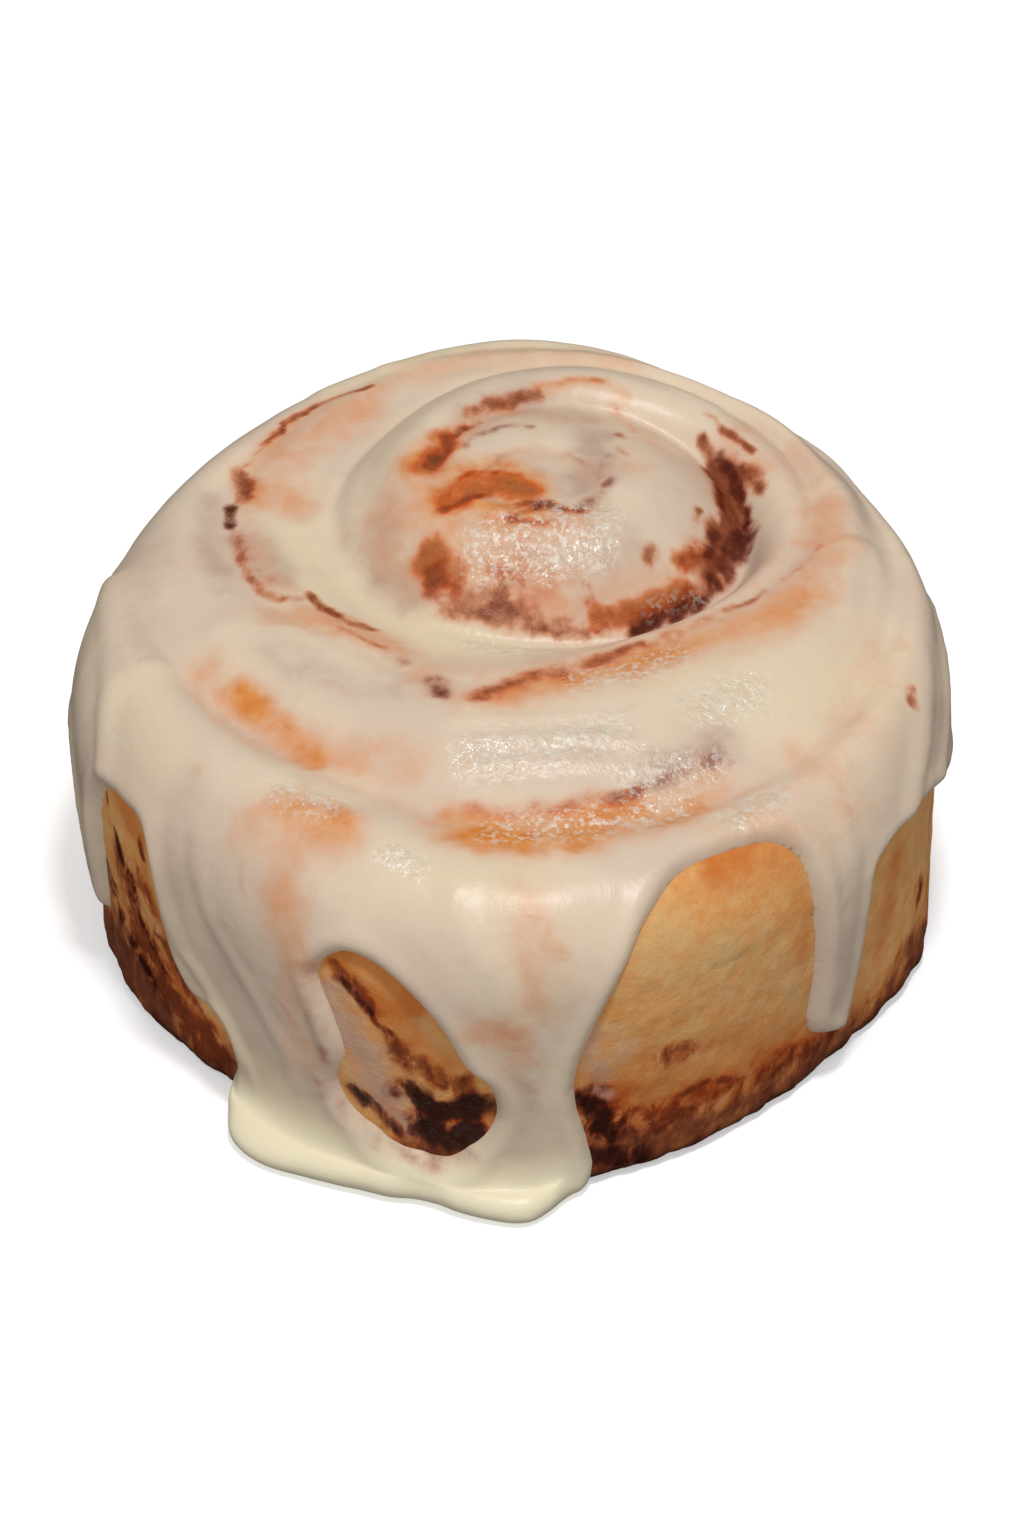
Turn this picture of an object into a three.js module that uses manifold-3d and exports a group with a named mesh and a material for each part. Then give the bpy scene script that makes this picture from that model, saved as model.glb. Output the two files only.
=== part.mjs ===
// A glazed cinnamon roll: one baked swirl of dough, and the icing poured over it.
// Millimetres, +Z up. The origin is the middle of the flat underside, and the front faces -Y.

import * as THREE from 'three';
import { mergeVertices } from 'three/addons/utils/BufferGeometryUtils.js';
import Module from 'manifold-3d';

// The dough's plan and profile.
const BELLY_RADIUS = 52.6;      // mean radius at the widest ring
const BELLY_HEIGHT = 33;        // height of that ring
const FOOT_HEIGHT = 3;          // the rounded edge at the underside
const FOOT_INSET = 2.4;
const SHOULDER_POWER = 6;       // the shoulder's superellipse, outwards
const CROWN_POWER = 2.2;        // and upwards
const CROWN_EDGE = 0.84;        // share of the radius where the shoulder starts to roll over

// The swirl. Its seam is followed inwards, anticlockwise from above.
const SWIRL_X = 4;
const SWIRL_Y = 11;
const PILLOW_POWER = 0.7;       // how squarely each coil is rounded between its seams
const FILL_WIDTH = 3;           // how far the icing's fill spreads from a seam
const SEAM_FADE = 45;           // the seam deepens over this angle from its outer end
const TURN = 360;               // degrees

// Angle from +X, seam's radius from the swirl's centre, seam's height, rise of the coil
// inside it, and the depth of icing that lies in it.
const SEAM = [
  [150, 54.0, 56.0, 2.5, 0.0],
  [185, 50.5, 50.0, 2.5, 0.5],
  [213, 47.7, 46.0, 3.0, 0.8],
  [240, 46.0, 45.0, 3.0, 0.8],
  [270, 48.0, 44.5, 3.0, 1.2],
  [300, 47.0, 45.0, 3.0, 1.2],
  [330, 45.0, 47.5, 3.5, 1.2],
  [360, 42.0, 51.0, 3.0, 1.2],
  [405, 37.5, 54.0, 2.5, 1.2],
  [450, 36.5, 56.0, 1.5, 1.0],
  [480, 38.5, 55.5, 1.5, 0.8],
  [525, 40.0, 50.0, 3.0, 0.6],
  [550, 37.0, 48.0, 3.5, 0.8],
  [575, 31.0, 48.0, 3.0, 1.0],
  [604, 29.0, 48.5, 2.8, 0.8],
  [630, 25.0, 49.0, 2.4, 0.5],
  [660, 23.5, 49.0, 2.6, 0.5],
  [690, 26.5, 49.5, 3.0, 0.8],
  [720, 32.5, 50.0, 3.5, 1.0],
  [745, 35.0, 51.0, 3.8, 1.2],
  [775, 34.0, 52.5, 3.5, 1.5],
  [810, 31.5, 52.5, 4.0, 1.5],
  [850, 29.0, 48.0, 5.5, 3.0],
  [885, 27.0, 44.5, 5.5, 4.0],
  [930, 19.5, 42.0, 4.0, 4.0],
  [960, 16.0, 42.0, 3.0, 3.5],
  [990, 14.5, 42.5, 2.5, 2.0],
  [1020, 16.5, 43.5, 2.5, 0.8],
  [1080, 25.0, 45.0, 3.5, 0.0],
  [1115, 26.7, 48.5, 3.5, 0.2],
  [1146, 24.5, 52.5, 2.0, 0.5],
  [1199, 19.5, 55.0, 1.4, 0.5],
  [1265, 11.0, 55.0, 1.2, 0.5],
  [1310, 6.0, 55.5, 1.0, 0.5],
  [1350, 3.5, 55.5, 1.0, 0.5],
  [1400, 5.5, 55.5, 1.2, 0.5],
  [1450, 7.6, 55.5, 1.5, 0.5],
  [1540, 11.5, 55.5, 1.5, 0.5],
  [1600, 8.0, 56.0, 1.2, 0.5],
  [1660, 2.5, 56.5, 0.6, 0.5],
];

// The plan as [angle, radius at the belly, radius above the foot].
const PLAN = [
  [0, 53.0, 53.4], [30, 51.6, 50.6], [60, 51.8, 50.4], [90, 53.2, 51.4], [120, 52.2, 50.4],
  [150, 52.2, 50.4], [180, 53.4, 52.2], [195, 53.0, 51.0], [210, 51.9, 48.8],
  [225, 50.9, 47.6], [240, 52.0, 49.9], [255, 53.0, 51.4], [270, 53.4, 51.8],
  [285, 53.0, 50.0], [300, 51.9, 49.0], [315, 51.3, 48.7], [330, 52.0, 49.3],
  [345, 53.0, 52.2],
];

// Height that the outermost coil would reach without its shoulder, by angle around the roll.
const RIM = [
  [0, 57], [45, 60], [90, 61], [120, 58.8], [150, 57], [175, 56], [215, 54], [250, 51],
  [270, 50.5], [290, 51], [325, 53.5],
];

// The icing.
const GAP = 0.3;                // clearance to the dough
const ICING_TOP = 1.8;          // depth on the crown, from the dough
const ICING_SIDE = 1.5;         // and on the side
const BARE_DEPTH = 1.5;         // the cutting skin sinks this far below bare dough
const EDGE_SLOPE = 0.5;         // how steeply the icing thins towards its edges
const COAT_BOTTOM = 1.5;        // the coat ends here, inside the puddle
const PUDDLE_DEPTH = 4.4;
const PUDDLE_EDGE_POWER = 5;
const PUDDLE_MIDDLE = new THREE.Vector2(-14, -44);

// The icing's lower edge as [angle, height] around the side, drips and all. Where it
// reaches the underside it runs into the puddle.
const ICING_EDGE = [
  [0, 29], [12, 34], [22, 31], [26, 22], [30, 20], [34, 24], [37, 33], [48, 36], [58, 31],
  [61, 14], [66, 9], [71, 13], [74, 30], [84, 35], [95, 31], [99, 24], [103, 30], [117, 35],
  [128, 31], [131, 14], [135, 11], [139, 15], [142, 30], [152, 34], [163, 30], [167, 21],
  [171, 27], [180, 33], [186, 31], [189, 20], [191.5, 13], [194, 13], [196.5, 22], [198.5, 34],
  [202, 38], [207, 38.5],
  [211.5, 38], [214.5, 33], [216, 21], [219, 15.5], [225, 15], [226.5, 9], [227, -4],
  [277.5, -4], [278, 19], [281, 30], [285, 38], [288, 42], [294, 45], [305, 45], [311, 43],
  [314, 38], [316, 24], [317, 13], [320, 9], [325, 8], [326, 16], [326, 31], [328, 35],
  [338, 35.5], [347, 33],
];

// A bare window in the front sheet of icing, above the puddle.
const ICING_WINDOW = [
  [247, 37], [252, 37], [257, 34], [261, 29], [264, 23], [267, 20], [268, 15], [265, 9.5],
  [260, 7.5], [253, 8.5], [248, 11.5], [246, 16], [247.5, 21], [246, 27], [244, 33],
];

// The puddle's outline on the table. Its inner side lies under the roll.
const PUDDLE_OUTLINE = [
  [-33, -33], [-35.5, -39], [-34.8, -43], [-31, -47], [-25.5, -49.8], [-19.6, -51.6],
  [-12, -52.9], [-7.5, -54.6], [-3, -56], [1.5, -56.4], [4.2, -55], [5.8, -52.4], [6.2, -48],
  [5, -42], [-12, -38],
];

// Mesh fineness.
const COLUMNS = 88;
const CROWN_RINGS = 20;
const SHOULDER_RINGS = 5;
const SIDE_RINGS = 8;
const FOOT_RINGS = 2;
const PUDDLE_COLUMNS = 40;
const PUDDLE_RINGS = [0.5, 0.8, 0.93, 1];

const DEGREE = Math.PI / 180;
const wasm = await Module();
wasm.setup();

// A smooth value between the rows of a table whose first column rises.
function track(rows, x, column) {
  const at = THREE.MathUtils.clamp(x, rows[0][0], rows[rows.length - 1][0]);
  let k = rows.findIndex((row) => row[0] > at) - 1;
  if (k < 0) k = rows.length - 2;
  const [before, a] = [rows[Math.max(k - 1, 0)], rows[k]];
  const [b, after] = [rows[k + 1], rows[Math.min(k + 2, rows.length - 1)]];
  const span = b[0] - a[0];
  const slopeA = ((b[column] - before[column]) / (b[0] - before[0])) * span;
  const slopeB = ((after[column] - a[column]) / (after[0] - a[0])) * span;
  const t = (at - a[0]) / span;
  return a[column] * (1 + 2 * t) * (1 - t) ** 2 + b[column] * t * t * (3 - 2 * t)
    + slopeA * t * (1 - t) ** 2 - slopeB * t * t * (1 - t);
}

// The same for a table that goes once around the roll.
function around(rows, degrees, column = 1) {
  const turned = (turn) => rows.map(([angle, ...values]) => [angle + turn, ...values]);
  return track([...turned(-TURN), ...rows, ...turned(TURN)], wrap(degrees), column);
}

function wrap(degrees) {
  return ((degrees % TURN) + TURN) % TURN;
}

function bellyRadius(degrees) {
  return around(PLAN, degrees, 1);
}

// How far the roll's edge is from the swirl's centre, in a direction from that centre.
function edgeFromSwirl(swirlDegrees, radius) {
  const along = SWIRL_X * Math.cos(swirlDegrees * DEGREE) + SWIRL_Y * Math.sin(swirlDegrees * DEGREE);
  const rest = along ** 2 - SWIRL_X ** 2 - SWIRL_Y ** 2 + radius ** 2;
  return Math.sqrt(rest) - along;
}

// The seams that a ray from the swirl's centre crosses, from the edge of the roll inwards.
function seamsAlong(swirlDegrees, edge, rim) {
  const seams = [{ radius: edge, height: rim, rise: 0, fill: 0, depth: 0 }];
  const last = SEAM[SEAM.length - 1][0];
  for (let angle = swirlDegrees; angle <= last; angle += TURN) {
    if (angle < SEAM[0][0]) continue;
    const [radius, height, rise, fill] = [1, 2, 3, 4].map((column) => track(SEAM, angle, column));
    const depth = THREE.MathUtils.smoothstep(angle, SEAM[0][0], SEAM[0][0] + SEAM_FADE);
    seams.push({ radius, height, rise, fill, depth });
  }
  const { height, rise, depth } = seams[seams.length - 1];
  seams.push({ radius: 0, height, rise, fill: 0, depth, middle: true });
  return seams;
}

// The share of the way from an outer radius to an inner one.
function across(outer, inner, radius) {
  return THREE.MathUtils.clamp((outer - radius) / Math.max(outer - inner, 1e-6), 0, 1);
}

// The crown's height before its shoulder rolls over, and the depth of icing lying there.
function crown(x, y) {
  const swirlDegrees = wrap(Math.atan2(y - SWIRL_Y, x - SWIRL_X) / DEGREE);
  const degrees = wrap(Math.atan2(y, x) / DEGREE);
  const radius = Math.hypot(x - SWIRL_X, y - SWIRL_Y);
  const rim = around(RIM, degrees);
  const edge = edgeFromSwirl(swirlDegrees, bellyRadius(degrees));
  const seams = seamsAlong(swirlDegrees, edge, rim);
  const k = Math.max(1, seams.findIndex((seam) => radius >= seam.radius));
  const [outer, inner] = [seams[k - 1], seams[k]];
  const plain = rim + (inner.height - rim) * across(edge, inner.radius, radius) ** 3;
  const u = across(outer.radius, inner.radius, radius);
  const level = outer.height + (inner.height - outer.height) * u;
  const pillow = Math.max(Math.sin(Math.PI * u * (inner.middle ? 0.5 : 1)), 0) ** PILLOW_POWER;
  const height = plain + (level + outer.rise * pillow - plain) * outer.depth;
  const nearOuter = outer.fill * Math.exp(-(((outer.radius - radius) / FILL_WIDTH) ** 2));
  const nearInner = inner.fill * Math.exp(-(((radius - inner.radius) / FILL_WIDTH) ** 2));
  return { height, icing: ICING_TOP + nearOuter + nearInner };
}

// A place on the dough's skin: the point, the way out of it, and the icing depth there.
function crownPlace(degrees, phi) {
  const share = Math.sin(phi) ** (2 / SHOULDER_POWER);
  const lift = Math.cos(phi) ** (2 / CROWN_POWER);
  const radius = bellyRadius(degrees) * share;
  const x = SWIRL_X * (1 - share ** 2) + radius * Math.cos(degrees * DEGREE);
  const y = SWIRL_Y * (1 - share ** 2) + radius * Math.sin(degrees * DEGREE);
  const { height, icing } = crown(x, y);
  const point = new THREE.Vector3(x, y, BELLY_HEIGHT + (height - BELLY_HEIGHT) * lift);
  const radial = new THREE.Vector3(Math.cos(degrees * DEGREE), Math.sin(degrees * DEGREE), 0);
  const out = radial.multiplyScalar(Math.sin(phi) ** 3).setZ(Math.cos(phi)).normalize();
  const depth = ICING_SIDE + (icing - ICING_SIDE) * Math.cos(phi);
  const plainHeight = BELLY_HEIGHT + (around(RIM, degrees) - BELLY_HEIGHT) * lift;
  return { point, out, depth: coatDepth(degrees, plainHeight, depth) };
}

function sidePlace(degrees, height) {
  const drop = THREE.MathUtils.smoothstep(1 - height / BELLY_HEIGHT, 0, 1);
  const foot = Math.max(0, 1 - height / FOOT_HEIGHT);
  const footInset = FOOT_INSET * (1 - Math.sqrt(1 - foot ** 2));
  const footRadius = around(PLAN, degrees, 2);
  const radius = THREE.MathUtils.lerp(bellyRadius(degrees), footRadius, drop) - footInset;
  const out = new THREE.Vector3(Math.cos(degrees * DEGREE), Math.sin(degrees * DEGREE), 0);
  const point = out.clone().multiplyScalar(radius).setZ(height);
  return { point, out, depth: coatDepth(degrees, height, ICING_SIDE) };
}

// Places on the unrolled side, in millimetres along the belly and up.
function unrolled([degrees, height]) {
  return new THREE.Vector2(degrees * DEGREE * BELLY_RADIUS, height);
}

const edgeLine = [...ICING_EDGE, [ICING_EDGE[0][0] + TURN, ICING_EDGE[0][1]]].map(unrolled);
const windowLine = [...ICING_WINDOW, ICING_WINDOW[0]].map(unrolled);

function distanceToLine(line, place) {
  let nearest = Infinity;
  const onLine = new THREE.Vector3();
  const target = new THREE.Vector3(place.x, place.y, 0);
  for (let k = 1; k < line.length; k++) {
    const [a, b] = [line[k - 1], line[k]].map((p) => new THREE.Vector3(p.x, p.y, 0));
    new THREE.Line3(a, b).closestPointToPoint(target, true, onLine);
    nearest = Math.min(nearest, onLine.distanceTo(target));
  }
  return nearest;
}

// Whether a ray straight down from the place crosses the line an odd number of times.
function crossesBelow(line, place) {
  let crossings = 0;
  for (let k = 1; k < line.length; k++) {
    const [a, b] = [line[k - 1], line[k]];
    if ((a.x <= place.x) === (b.x <= place.x)) continue;
    const y = a.y + ((place.x - a.x) / (b.x - a.x)) * (b.y - a.y);
    if (y < place.y) crossings++;
  }
  return crossings % 2 === 1;
}

// The icing's depth, thinning towards its edges and below nothing where the dough is bare.
function coatDepth(degrees, height, fullDepth) {
  const place = unrolled([wrap(degrees), height]);
  const covered = crossesBelow(edgeLine, place) && !crossesBelow(windowLine, place);
  const inset = Math.min(distanceToLine(edgeLine, place), distanceToLine(windowLine, place));
  return covered ? Math.min(inset * EDGE_SLOPE, fullDepth) : -Math.min(inset * EDGE_SLOPE, BARE_DEPTH);
}

// Rings of places from the crown down to the flat underside.
function doughRings() {
  const places = [];
  const shoulder = Math.asin(CROWN_EDGE ** (SHOULDER_POWER / 2));
  for (let k = 1; k <= CROWN_RINGS; k++) {
    const phi = Math.asin(((CROWN_EDGE * k) / CROWN_RINGS) ** (SHOULDER_POWER / 2));
    places.push((degrees) => crownPlace(degrees, phi));
  }
  for (let k = 1; k <= SHOULDER_RINGS; k++) {
    const phi = shoulder + ((Math.PI / 2 - shoulder) * k) / SHOULDER_RINGS;
    places.push((degrees) => crownPlace(degrees, phi));
  }
  for (let k = 1; k <= SIDE_RINGS; k++) {
    const height = BELLY_HEIGHT + ((FOOT_HEIGHT - BELLY_HEIGHT) * k) / SIDE_RINGS;
    places.push((degrees) => sidePlace(degrees, height));
  }
  for (let k = 1; k <= FOOT_RINGS; k++) {
    const height = FOOT_HEIGHT * (1 - Math.sin(((Math.PI / 2) * k) / FOOT_RINGS));
    places.push((degrees) => sidePlace(degrees, height));
  }
  const angles = Array.from({ length: COLUMNS }, (_, j) => (TURN * j) / COLUMNS);
  return places.map((place) => angles.map(place));
}

// A closed skin over rings of points, with a fan to a pole at each end.
function skin(rings, firstPole, lastPole) {
  const columns = rings[0].length;
  const positions = [firstPole, ...rings.flat(), lastPole].flatMap((p) => [p.x, p.y, p.z]);
  const at = (ring, column) => 1 + ring * columns + (column % columns);
  const end = 1 + rings.length * columns;
  const faces = [];
  for (let j = 0; j < columns; j++) {
    faces.push(0, at(0, j), at(0, j + 1));
    faces.push(end, at(rings.length - 1, j + 1), at(rings.length - 1, j));
    for (let i = 1; i < rings.length; i++) {
      faces.push(at(i - 1, j), at(i, j), at(i, j + 1));
      faces.push(at(i - 1, j), at(i, j + 1), at(i - 1, j + 1));
    }
  }
  const geometry = new THREE.BufferGeometry();
  geometry.setAttribute('position', new THREE.Float32BufferAttribute(positions, 3));
  geometry.setIndex(faces);
  return geometry;
}

// The dough's skin moved outwards by a depth for each place, with a flat underside at a height.
function offsetSkin(rings, depthOf, bottom) {
  const lastRing = rings.length - 1;
  const moved = rings.map((ring, k) => ring.map((place) => {
    const point = place.point.clone().addScaledVector(place.out, depthOf(place));
    return point.setZ(k === lastRing ? bottom : Math.max(point.z, bottom));
  }));
  const top = crownPlace(0, 0);
  const peak = top.point.clone().addScaledVector(top.out, depthOf(top));
  return skin(moved, peak, new THREE.Vector3(0, 0, bottom));
}

function puddleSkin() {
  const corners = PUDDLE_OUTLINE.map(([x, y]) => new THREE.Vector3(x, y, 0));
  const outline = new THREE.CatmullRomCurve3(corners, true).getSpacedPoints(PUDDLE_COLUMNS).slice(1);
  const middle = new THREE.Vector3(PUDDLE_MIDDLE.x, PUDDLE_MIDDLE.y, 0);
  const rings = PUDDLE_RINGS.map((share) => outline.map((corner) => {
    const height = PUDDLE_DEPTH * Math.sqrt(1 - share ** PUDDLE_EDGE_POWER);
    return middle.clone().lerp(corner, share).setZ(height);
  }));
  return skin(rings, middle.clone().setZ(PUDDLE_DEPTH), middle);
}

function toManifold(geometry) {
  const merged = mergeVertices(geometry, 1e-4);
  const vertProperties = Float32Array.from(merged.attributes.position.array);
  const triVerts = Uint32Array.from(merged.index.array);
  return new wasm.Manifold(new wasm.Mesh({ numProp: 3, vertProperties, triVerts }));
}

function fromManifold(solid) {
  const { vertProperties, triVerts } = solid.getMesh();
  const geometry = new THREE.BufferGeometry();
  geometry.setAttribute('position', new THREE.BufferAttribute(vertProperties, 3));
  geometry.setIndex(new THREE.BufferAttribute(triVerts, 1));
  return geometry;
}

// The icing: the coat with its puddle, less the dough and its clearance.
function icingGeometry(rings) {
  const coat = toManifold(offsetSkin(rings, (place) => place.depth, COAT_BOTTOM));
  const doughRoom = offsetSkin(rings, () => GAP, -GAP);
  const poured = coat.add(toManifold(puddleSkin())).subtract(toManifold(doughRoom));
  const bodies = poured.decompose().sort((a, b) => b.volume() - a.volume());
  return fromManifold(bodies[0]);
}

function part(name, geometry, color, roughness) {
  const material = new THREE.MeshStandardMaterial({ color, roughness, metalness: 0 });
  const mesh = new THREE.Mesh(geometry, material);
  mesh.name = name;
  return mesh;
}

const rings = doughRings();
const cinnamonRoll = new THREE.Group();
cinnamonRoll.name = 'cinnamon_roll';
cinnamonRoll.add(part('baked_roll', offsetSkin(rings, () => 0, 0), 0xc68a4e, 0.7));
cinnamonRoll.add(part('icing', icingGeometry(rings), 0xe8dcc4, 0.3));

export default cinnamonRoll;
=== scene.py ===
"""A glazed cinnamon roll: the finish of the baked swirl and of the icing poured over it.

The two CAD solids are replaced by fine meshes of the same shape. Lengths in the tables are
millimetres. Angles are degrees, anticlockwise from +X, with the front at 270.
"""

import math

import bpy
import numpy as np
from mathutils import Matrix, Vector


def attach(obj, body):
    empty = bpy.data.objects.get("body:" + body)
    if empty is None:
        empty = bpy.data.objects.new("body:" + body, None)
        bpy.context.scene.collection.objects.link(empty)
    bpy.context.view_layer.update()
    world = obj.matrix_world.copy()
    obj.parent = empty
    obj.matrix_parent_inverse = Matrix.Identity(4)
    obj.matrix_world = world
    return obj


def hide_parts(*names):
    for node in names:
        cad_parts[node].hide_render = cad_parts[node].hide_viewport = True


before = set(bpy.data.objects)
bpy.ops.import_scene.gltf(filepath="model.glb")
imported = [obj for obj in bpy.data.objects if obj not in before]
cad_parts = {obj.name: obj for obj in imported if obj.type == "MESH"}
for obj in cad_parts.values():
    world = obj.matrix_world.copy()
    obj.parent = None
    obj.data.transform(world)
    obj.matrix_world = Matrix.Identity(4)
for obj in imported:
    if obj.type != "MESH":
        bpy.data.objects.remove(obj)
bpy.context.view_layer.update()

MM = 0.001
TURN = 360.0
FRONT = 270.0
FRONT_CROWDING = 0.33   # columns lie closer by this share at the front

# ---------------- the roll's shape

BELLY_RADIUS = 52.6     # mean, at which the side is unrolled
BELLY_HEIGHT = 33.0
FOOT_HEIGHT = 3.0
FOOT_INSET = 2.4
SHOULDER_POWER = 6.0
CROWN_POWER = 2.2
CROWN_EDGE = 0.84
SWIRL = np.array([4.0, 11.0])
PILLOW_POWER = 0.7
FILL_WIDTH = 3.0
SEAM_FADE = 45.0        # the seam deepens over this angle from its outer end
SOFTENING = 4           # passes that round the seams' edges

# The swirl's seam, followed inwards: angle, radius from the swirl's centre, height, rise of
# the coil inside it, and the depth of icing that lies in it.
SEAM = np.array([
    [150, 54, 56, 2.5, 0],
    [185, 50.5, 50, 2.5, 0.5],
    [213, 47.7, 46, 3, 0.8],
    [240, 46, 45, 3, 0.8],
    [270, 48, 44.5, 3, 1.2],
    [300, 47, 45, 3, 1.2],
    [330, 45, 47.5, 3.5, 1.2],
    [360, 42, 51, 3, 1.2],
    [405, 37.5, 54, 2.5, 1.2],
    [450, 36.5, 56, 1.5, 1],
    [480, 38.5, 55.5, 1.5, 0.8],
    [525, 40, 50, 3, 0.6],
    [550, 37, 48, 3.5, 0.8],
    [575, 31, 48, 3, 1],
    [604, 29, 48.5, 2.8, 0.8],
    [630, 25, 49, 2.4, 0.5],
    [660, 23.5, 49, 2.6, 0.5],
    [690, 26.5, 49.5, 3, 0.8],
    [720, 32.5, 50, 3.5, 1],
    [745, 35, 51, 3.8, 1.2],
    [775, 34, 52.5, 3.5, 1.5],
    [810, 31.5, 52.5, 4, 1.5],
    [850, 29, 48, 5.5, 3],
    [885, 27, 44.5, 5.5, 4],
    [930, 19.5, 42, 4, 4],
    [960, 16, 42, 3, 3.5],
    [990, 14.5, 42.5, 2.5, 2],
    [1020, 16.5, 43.5, 2.5, 0.8],
    [1080, 25, 45, 3.5, 0],
    [1115, 26.7, 48.5, 3.5, 0.2],
    [1146, 24.5, 52.5, 2, 0.5],
    [1199, 19.5, 55, 1.4, 0.5],
    [1265, 11, 55, 1.2, 0.5],
    [1310, 6, 55.5, 1, 0.5],
    [1350, 3.5, 55.5, 1, 0.5],
    [1400, 5.5, 55.5, 1.2, 0.5],
    [1450, 7.6, 55.5, 1.5, 0.5],
    [1540, 11.5, 55.5, 1.5, 0.5],
    [1600, 8, 56, 1.2, 0.5],
    [1660, 2.5, 56.5, 0.6, 0.5],
])

# The plan: angle, radius at the belly, radius above the foot.
PLAN = np.array([
    [0, 53, 53.4], [30, 51.6, 50.6], [60, 51.8, 50.4], [90, 53.2, 51.4], [120, 52.2, 50.4],
    [150, 52.2, 50.4], [180, 53.4, 52.2], [195, 53, 51], [210, 51.9, 48.8],
    [225, 50.9, 47.6], [240, 52, 49.9], [255, 53, 51.4], [270, 53.4, 51.8],
    [285, 53, 50], [300, 51.9, 49], [315, 51.3, 48.7], [330, 52, 49.3],
    [345, 53, 52.2],
])

# Height that the outermost coil would reach without its shoulder, by angle around the roll.
RIM = np.array([
    [0, 57], [45, 60], [90, 61], [120, 58.8], [150, 57], [175, 56], [215, 54], [250, 51],
    [270, 50.5], [290, 51], [325, 53.5],
])

# ---------------- the icing's shape

ICING_TOP = 1.8
ICING_SIDE = 1.5
BARE_DEPTH = 1.5
EDGE_BEAD = 1.5

# The icing's lower edge around the side as angle and height, drips and all.
ICING_EDGE = [
    [0, 29], [12, 34], [22, 31], [26, 22], [30, 20], [34, 24], [37, 33], [48, 36], [58, 31],
    [61, 14], [66, 9], [71, 13], [74, 30], [84, 35], [95, 31], [99, 24], [103, 30], [117, 35],
    [128, 31], [131, 14], [135, 11], [139, 15], [142, 30], [152, 34], [163, 30], [167, 21],
    [171, 27], [180, 33], [186, 31], [189, 20], [191.5, 13], [194, 13], [196.5, 22], [198.5, 34],
    [202, 38], [207, 38.5], [211.5, 38], [214.5, 33], [216, 21], [219, 15.5], [225, 15], [226.5, 9],
    [227, -4], [277.5, -4], [278, 19], [281, 30], [285, 38], [288, 42], [294, 45], [305, 45],
    [311, 43], [314, 38], [316, 24], [317, 13], [320, 9], [325, 8], [326, 16], [326, 31],
    [328, 35], [338, 35.5], [347, 33],
]

# A bare window in the front sheet of icing, above the puddle.
ICING_WINDOW = [
    [247, 37], [252, 37], [257, 34], [261, 29], [264, 23], [267, 20], [268, 15], [265, 9.5],
    [260, 7.5], [253, 8.5], [248, 11.5], [246, 16], [247.5, 21], [246, 27], [244, 33],
]

# How far the puddle runs out from the foot, by angle.
PUDDLE_REACH = np.array([
    [222, 0], [225.5, 0.2], [227.5, 2.6], [231, 5.6], [236, 5.9], [243, 4.1], [249.5, 2.9],
    [254, 2.6], [257.5, 1.9], [260.5, 2.2], [263, 3.1], [267, 4], [272, 4.6], [275, 3],
    [277, 1.2], [278.5, 0.2], [281, 0],
])
PUDDLE_TOP = 9.0        # the wall of icing turns out into the puddle from this height
PUDDLE_DEPTH = 4.2
PUDDLE_FILLET = 0.4     # share of the profile that turns from the wall to the puddle's top

# Uneven places: height, size, seed, and layers of noise.
ICING_LUMPS = ((0.22, 11.0, 11, 2), (0.08, 4.5, 11, 2))
DOUGH_SWELLS = ((0.35, 11.0, 21, 2), (0.12, 3.0, 23, 3))
DOUGH_WRINKLES = (0.16, 2.0, 25, 2)
RAGGED_FOOT = (0.7, 3.2, 27, 3)
RAGGED_BURN = (3.5, 7.0, 31, 3)

LIP_HEIGHT = 0.35       # the icing swells a little just inside its edge
LIP_INSET = 2.0
LIP_WIDTH = 1.2
LIP_TOP = 46.0          # no edge lies above this height
EDGE_REACH = 52.0       # the edge isn't looked for above this height
ROOM_INSET = 0.5        # the icing's inner face lies this far inside the dough's skin
ROOM_DROP = 0.3

# Long folds in the icing: half width, height, and a line of places. On the crown a place is
# x and y, and on the side it is an angle and a height. Angles past 360 go on around.
CROWN_FOLDS = [
    (1.3, 0.55, [(36, 35), (39.4, 30), (41.4, 22), (42, 14), (41.6, 6), (41, -2)]),
    (1.2, 0.3, [(30, 38), (36, 30), (39, 22)]),
    (1.4, 0.3, [(-24, 42), (-10, 47.5), (6, 49), (20, 46)]),
    (1, 0.25, [(-8, 41), (4, 42.5), (16, 41), (26, 36)]),
    (1, 0.22, [(-16, 45), (-6, 45), (4, 45)]),
    (1.6, 0.35, [(-26, 16), (-25, 8), (-20, 1), (-12, -4), (-3, -6.5)]),
]
SIDE_FOLDS = [
    (1.5, 0.6, [(372, 50), (364, 48), (354, 48), (346, 45), (340, 42), (334, 38)]),
    (1.2, 0.45, [(368, 44), (358, 42), (350, 39), (344, 36)]),
    (1.4, 0.55, [(168, 45), (176, 47.5), (184, 48), (192, 46.5), (198, 43), (203, 38.5)]),
    (1.2, 0.4, [(214, 40), (217, 32), (220, 24), (227, 16), (231, 9)]),
    (1.2, 0.25, [(222, 42), (226, 34), (233, 26), (239, 18), (240, 10)]),
    (1.6, 0.3, [(262, 44), (269, 37), (272, 28), (272.5, 18), (272, 8)]),
    (1.3, 0.3, [(321, 42), (320.5, 30), (321, 18), (322, 10)]),
]
SIDE_FOLDS_START = 20   # the angles past 360 reach the places before this angle

# Marks on the crown fade in over these heights, and marks on the side over these radii.
FOLD_HEIGHTS, FOLD_RADII = (40, 45), (38, 44)
STAIN_HEIGHTS, STAIN_RADII = (40, 44), (40, 45)
STAIN_WANDER = 0.8
STAIN_SEED = 41

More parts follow.
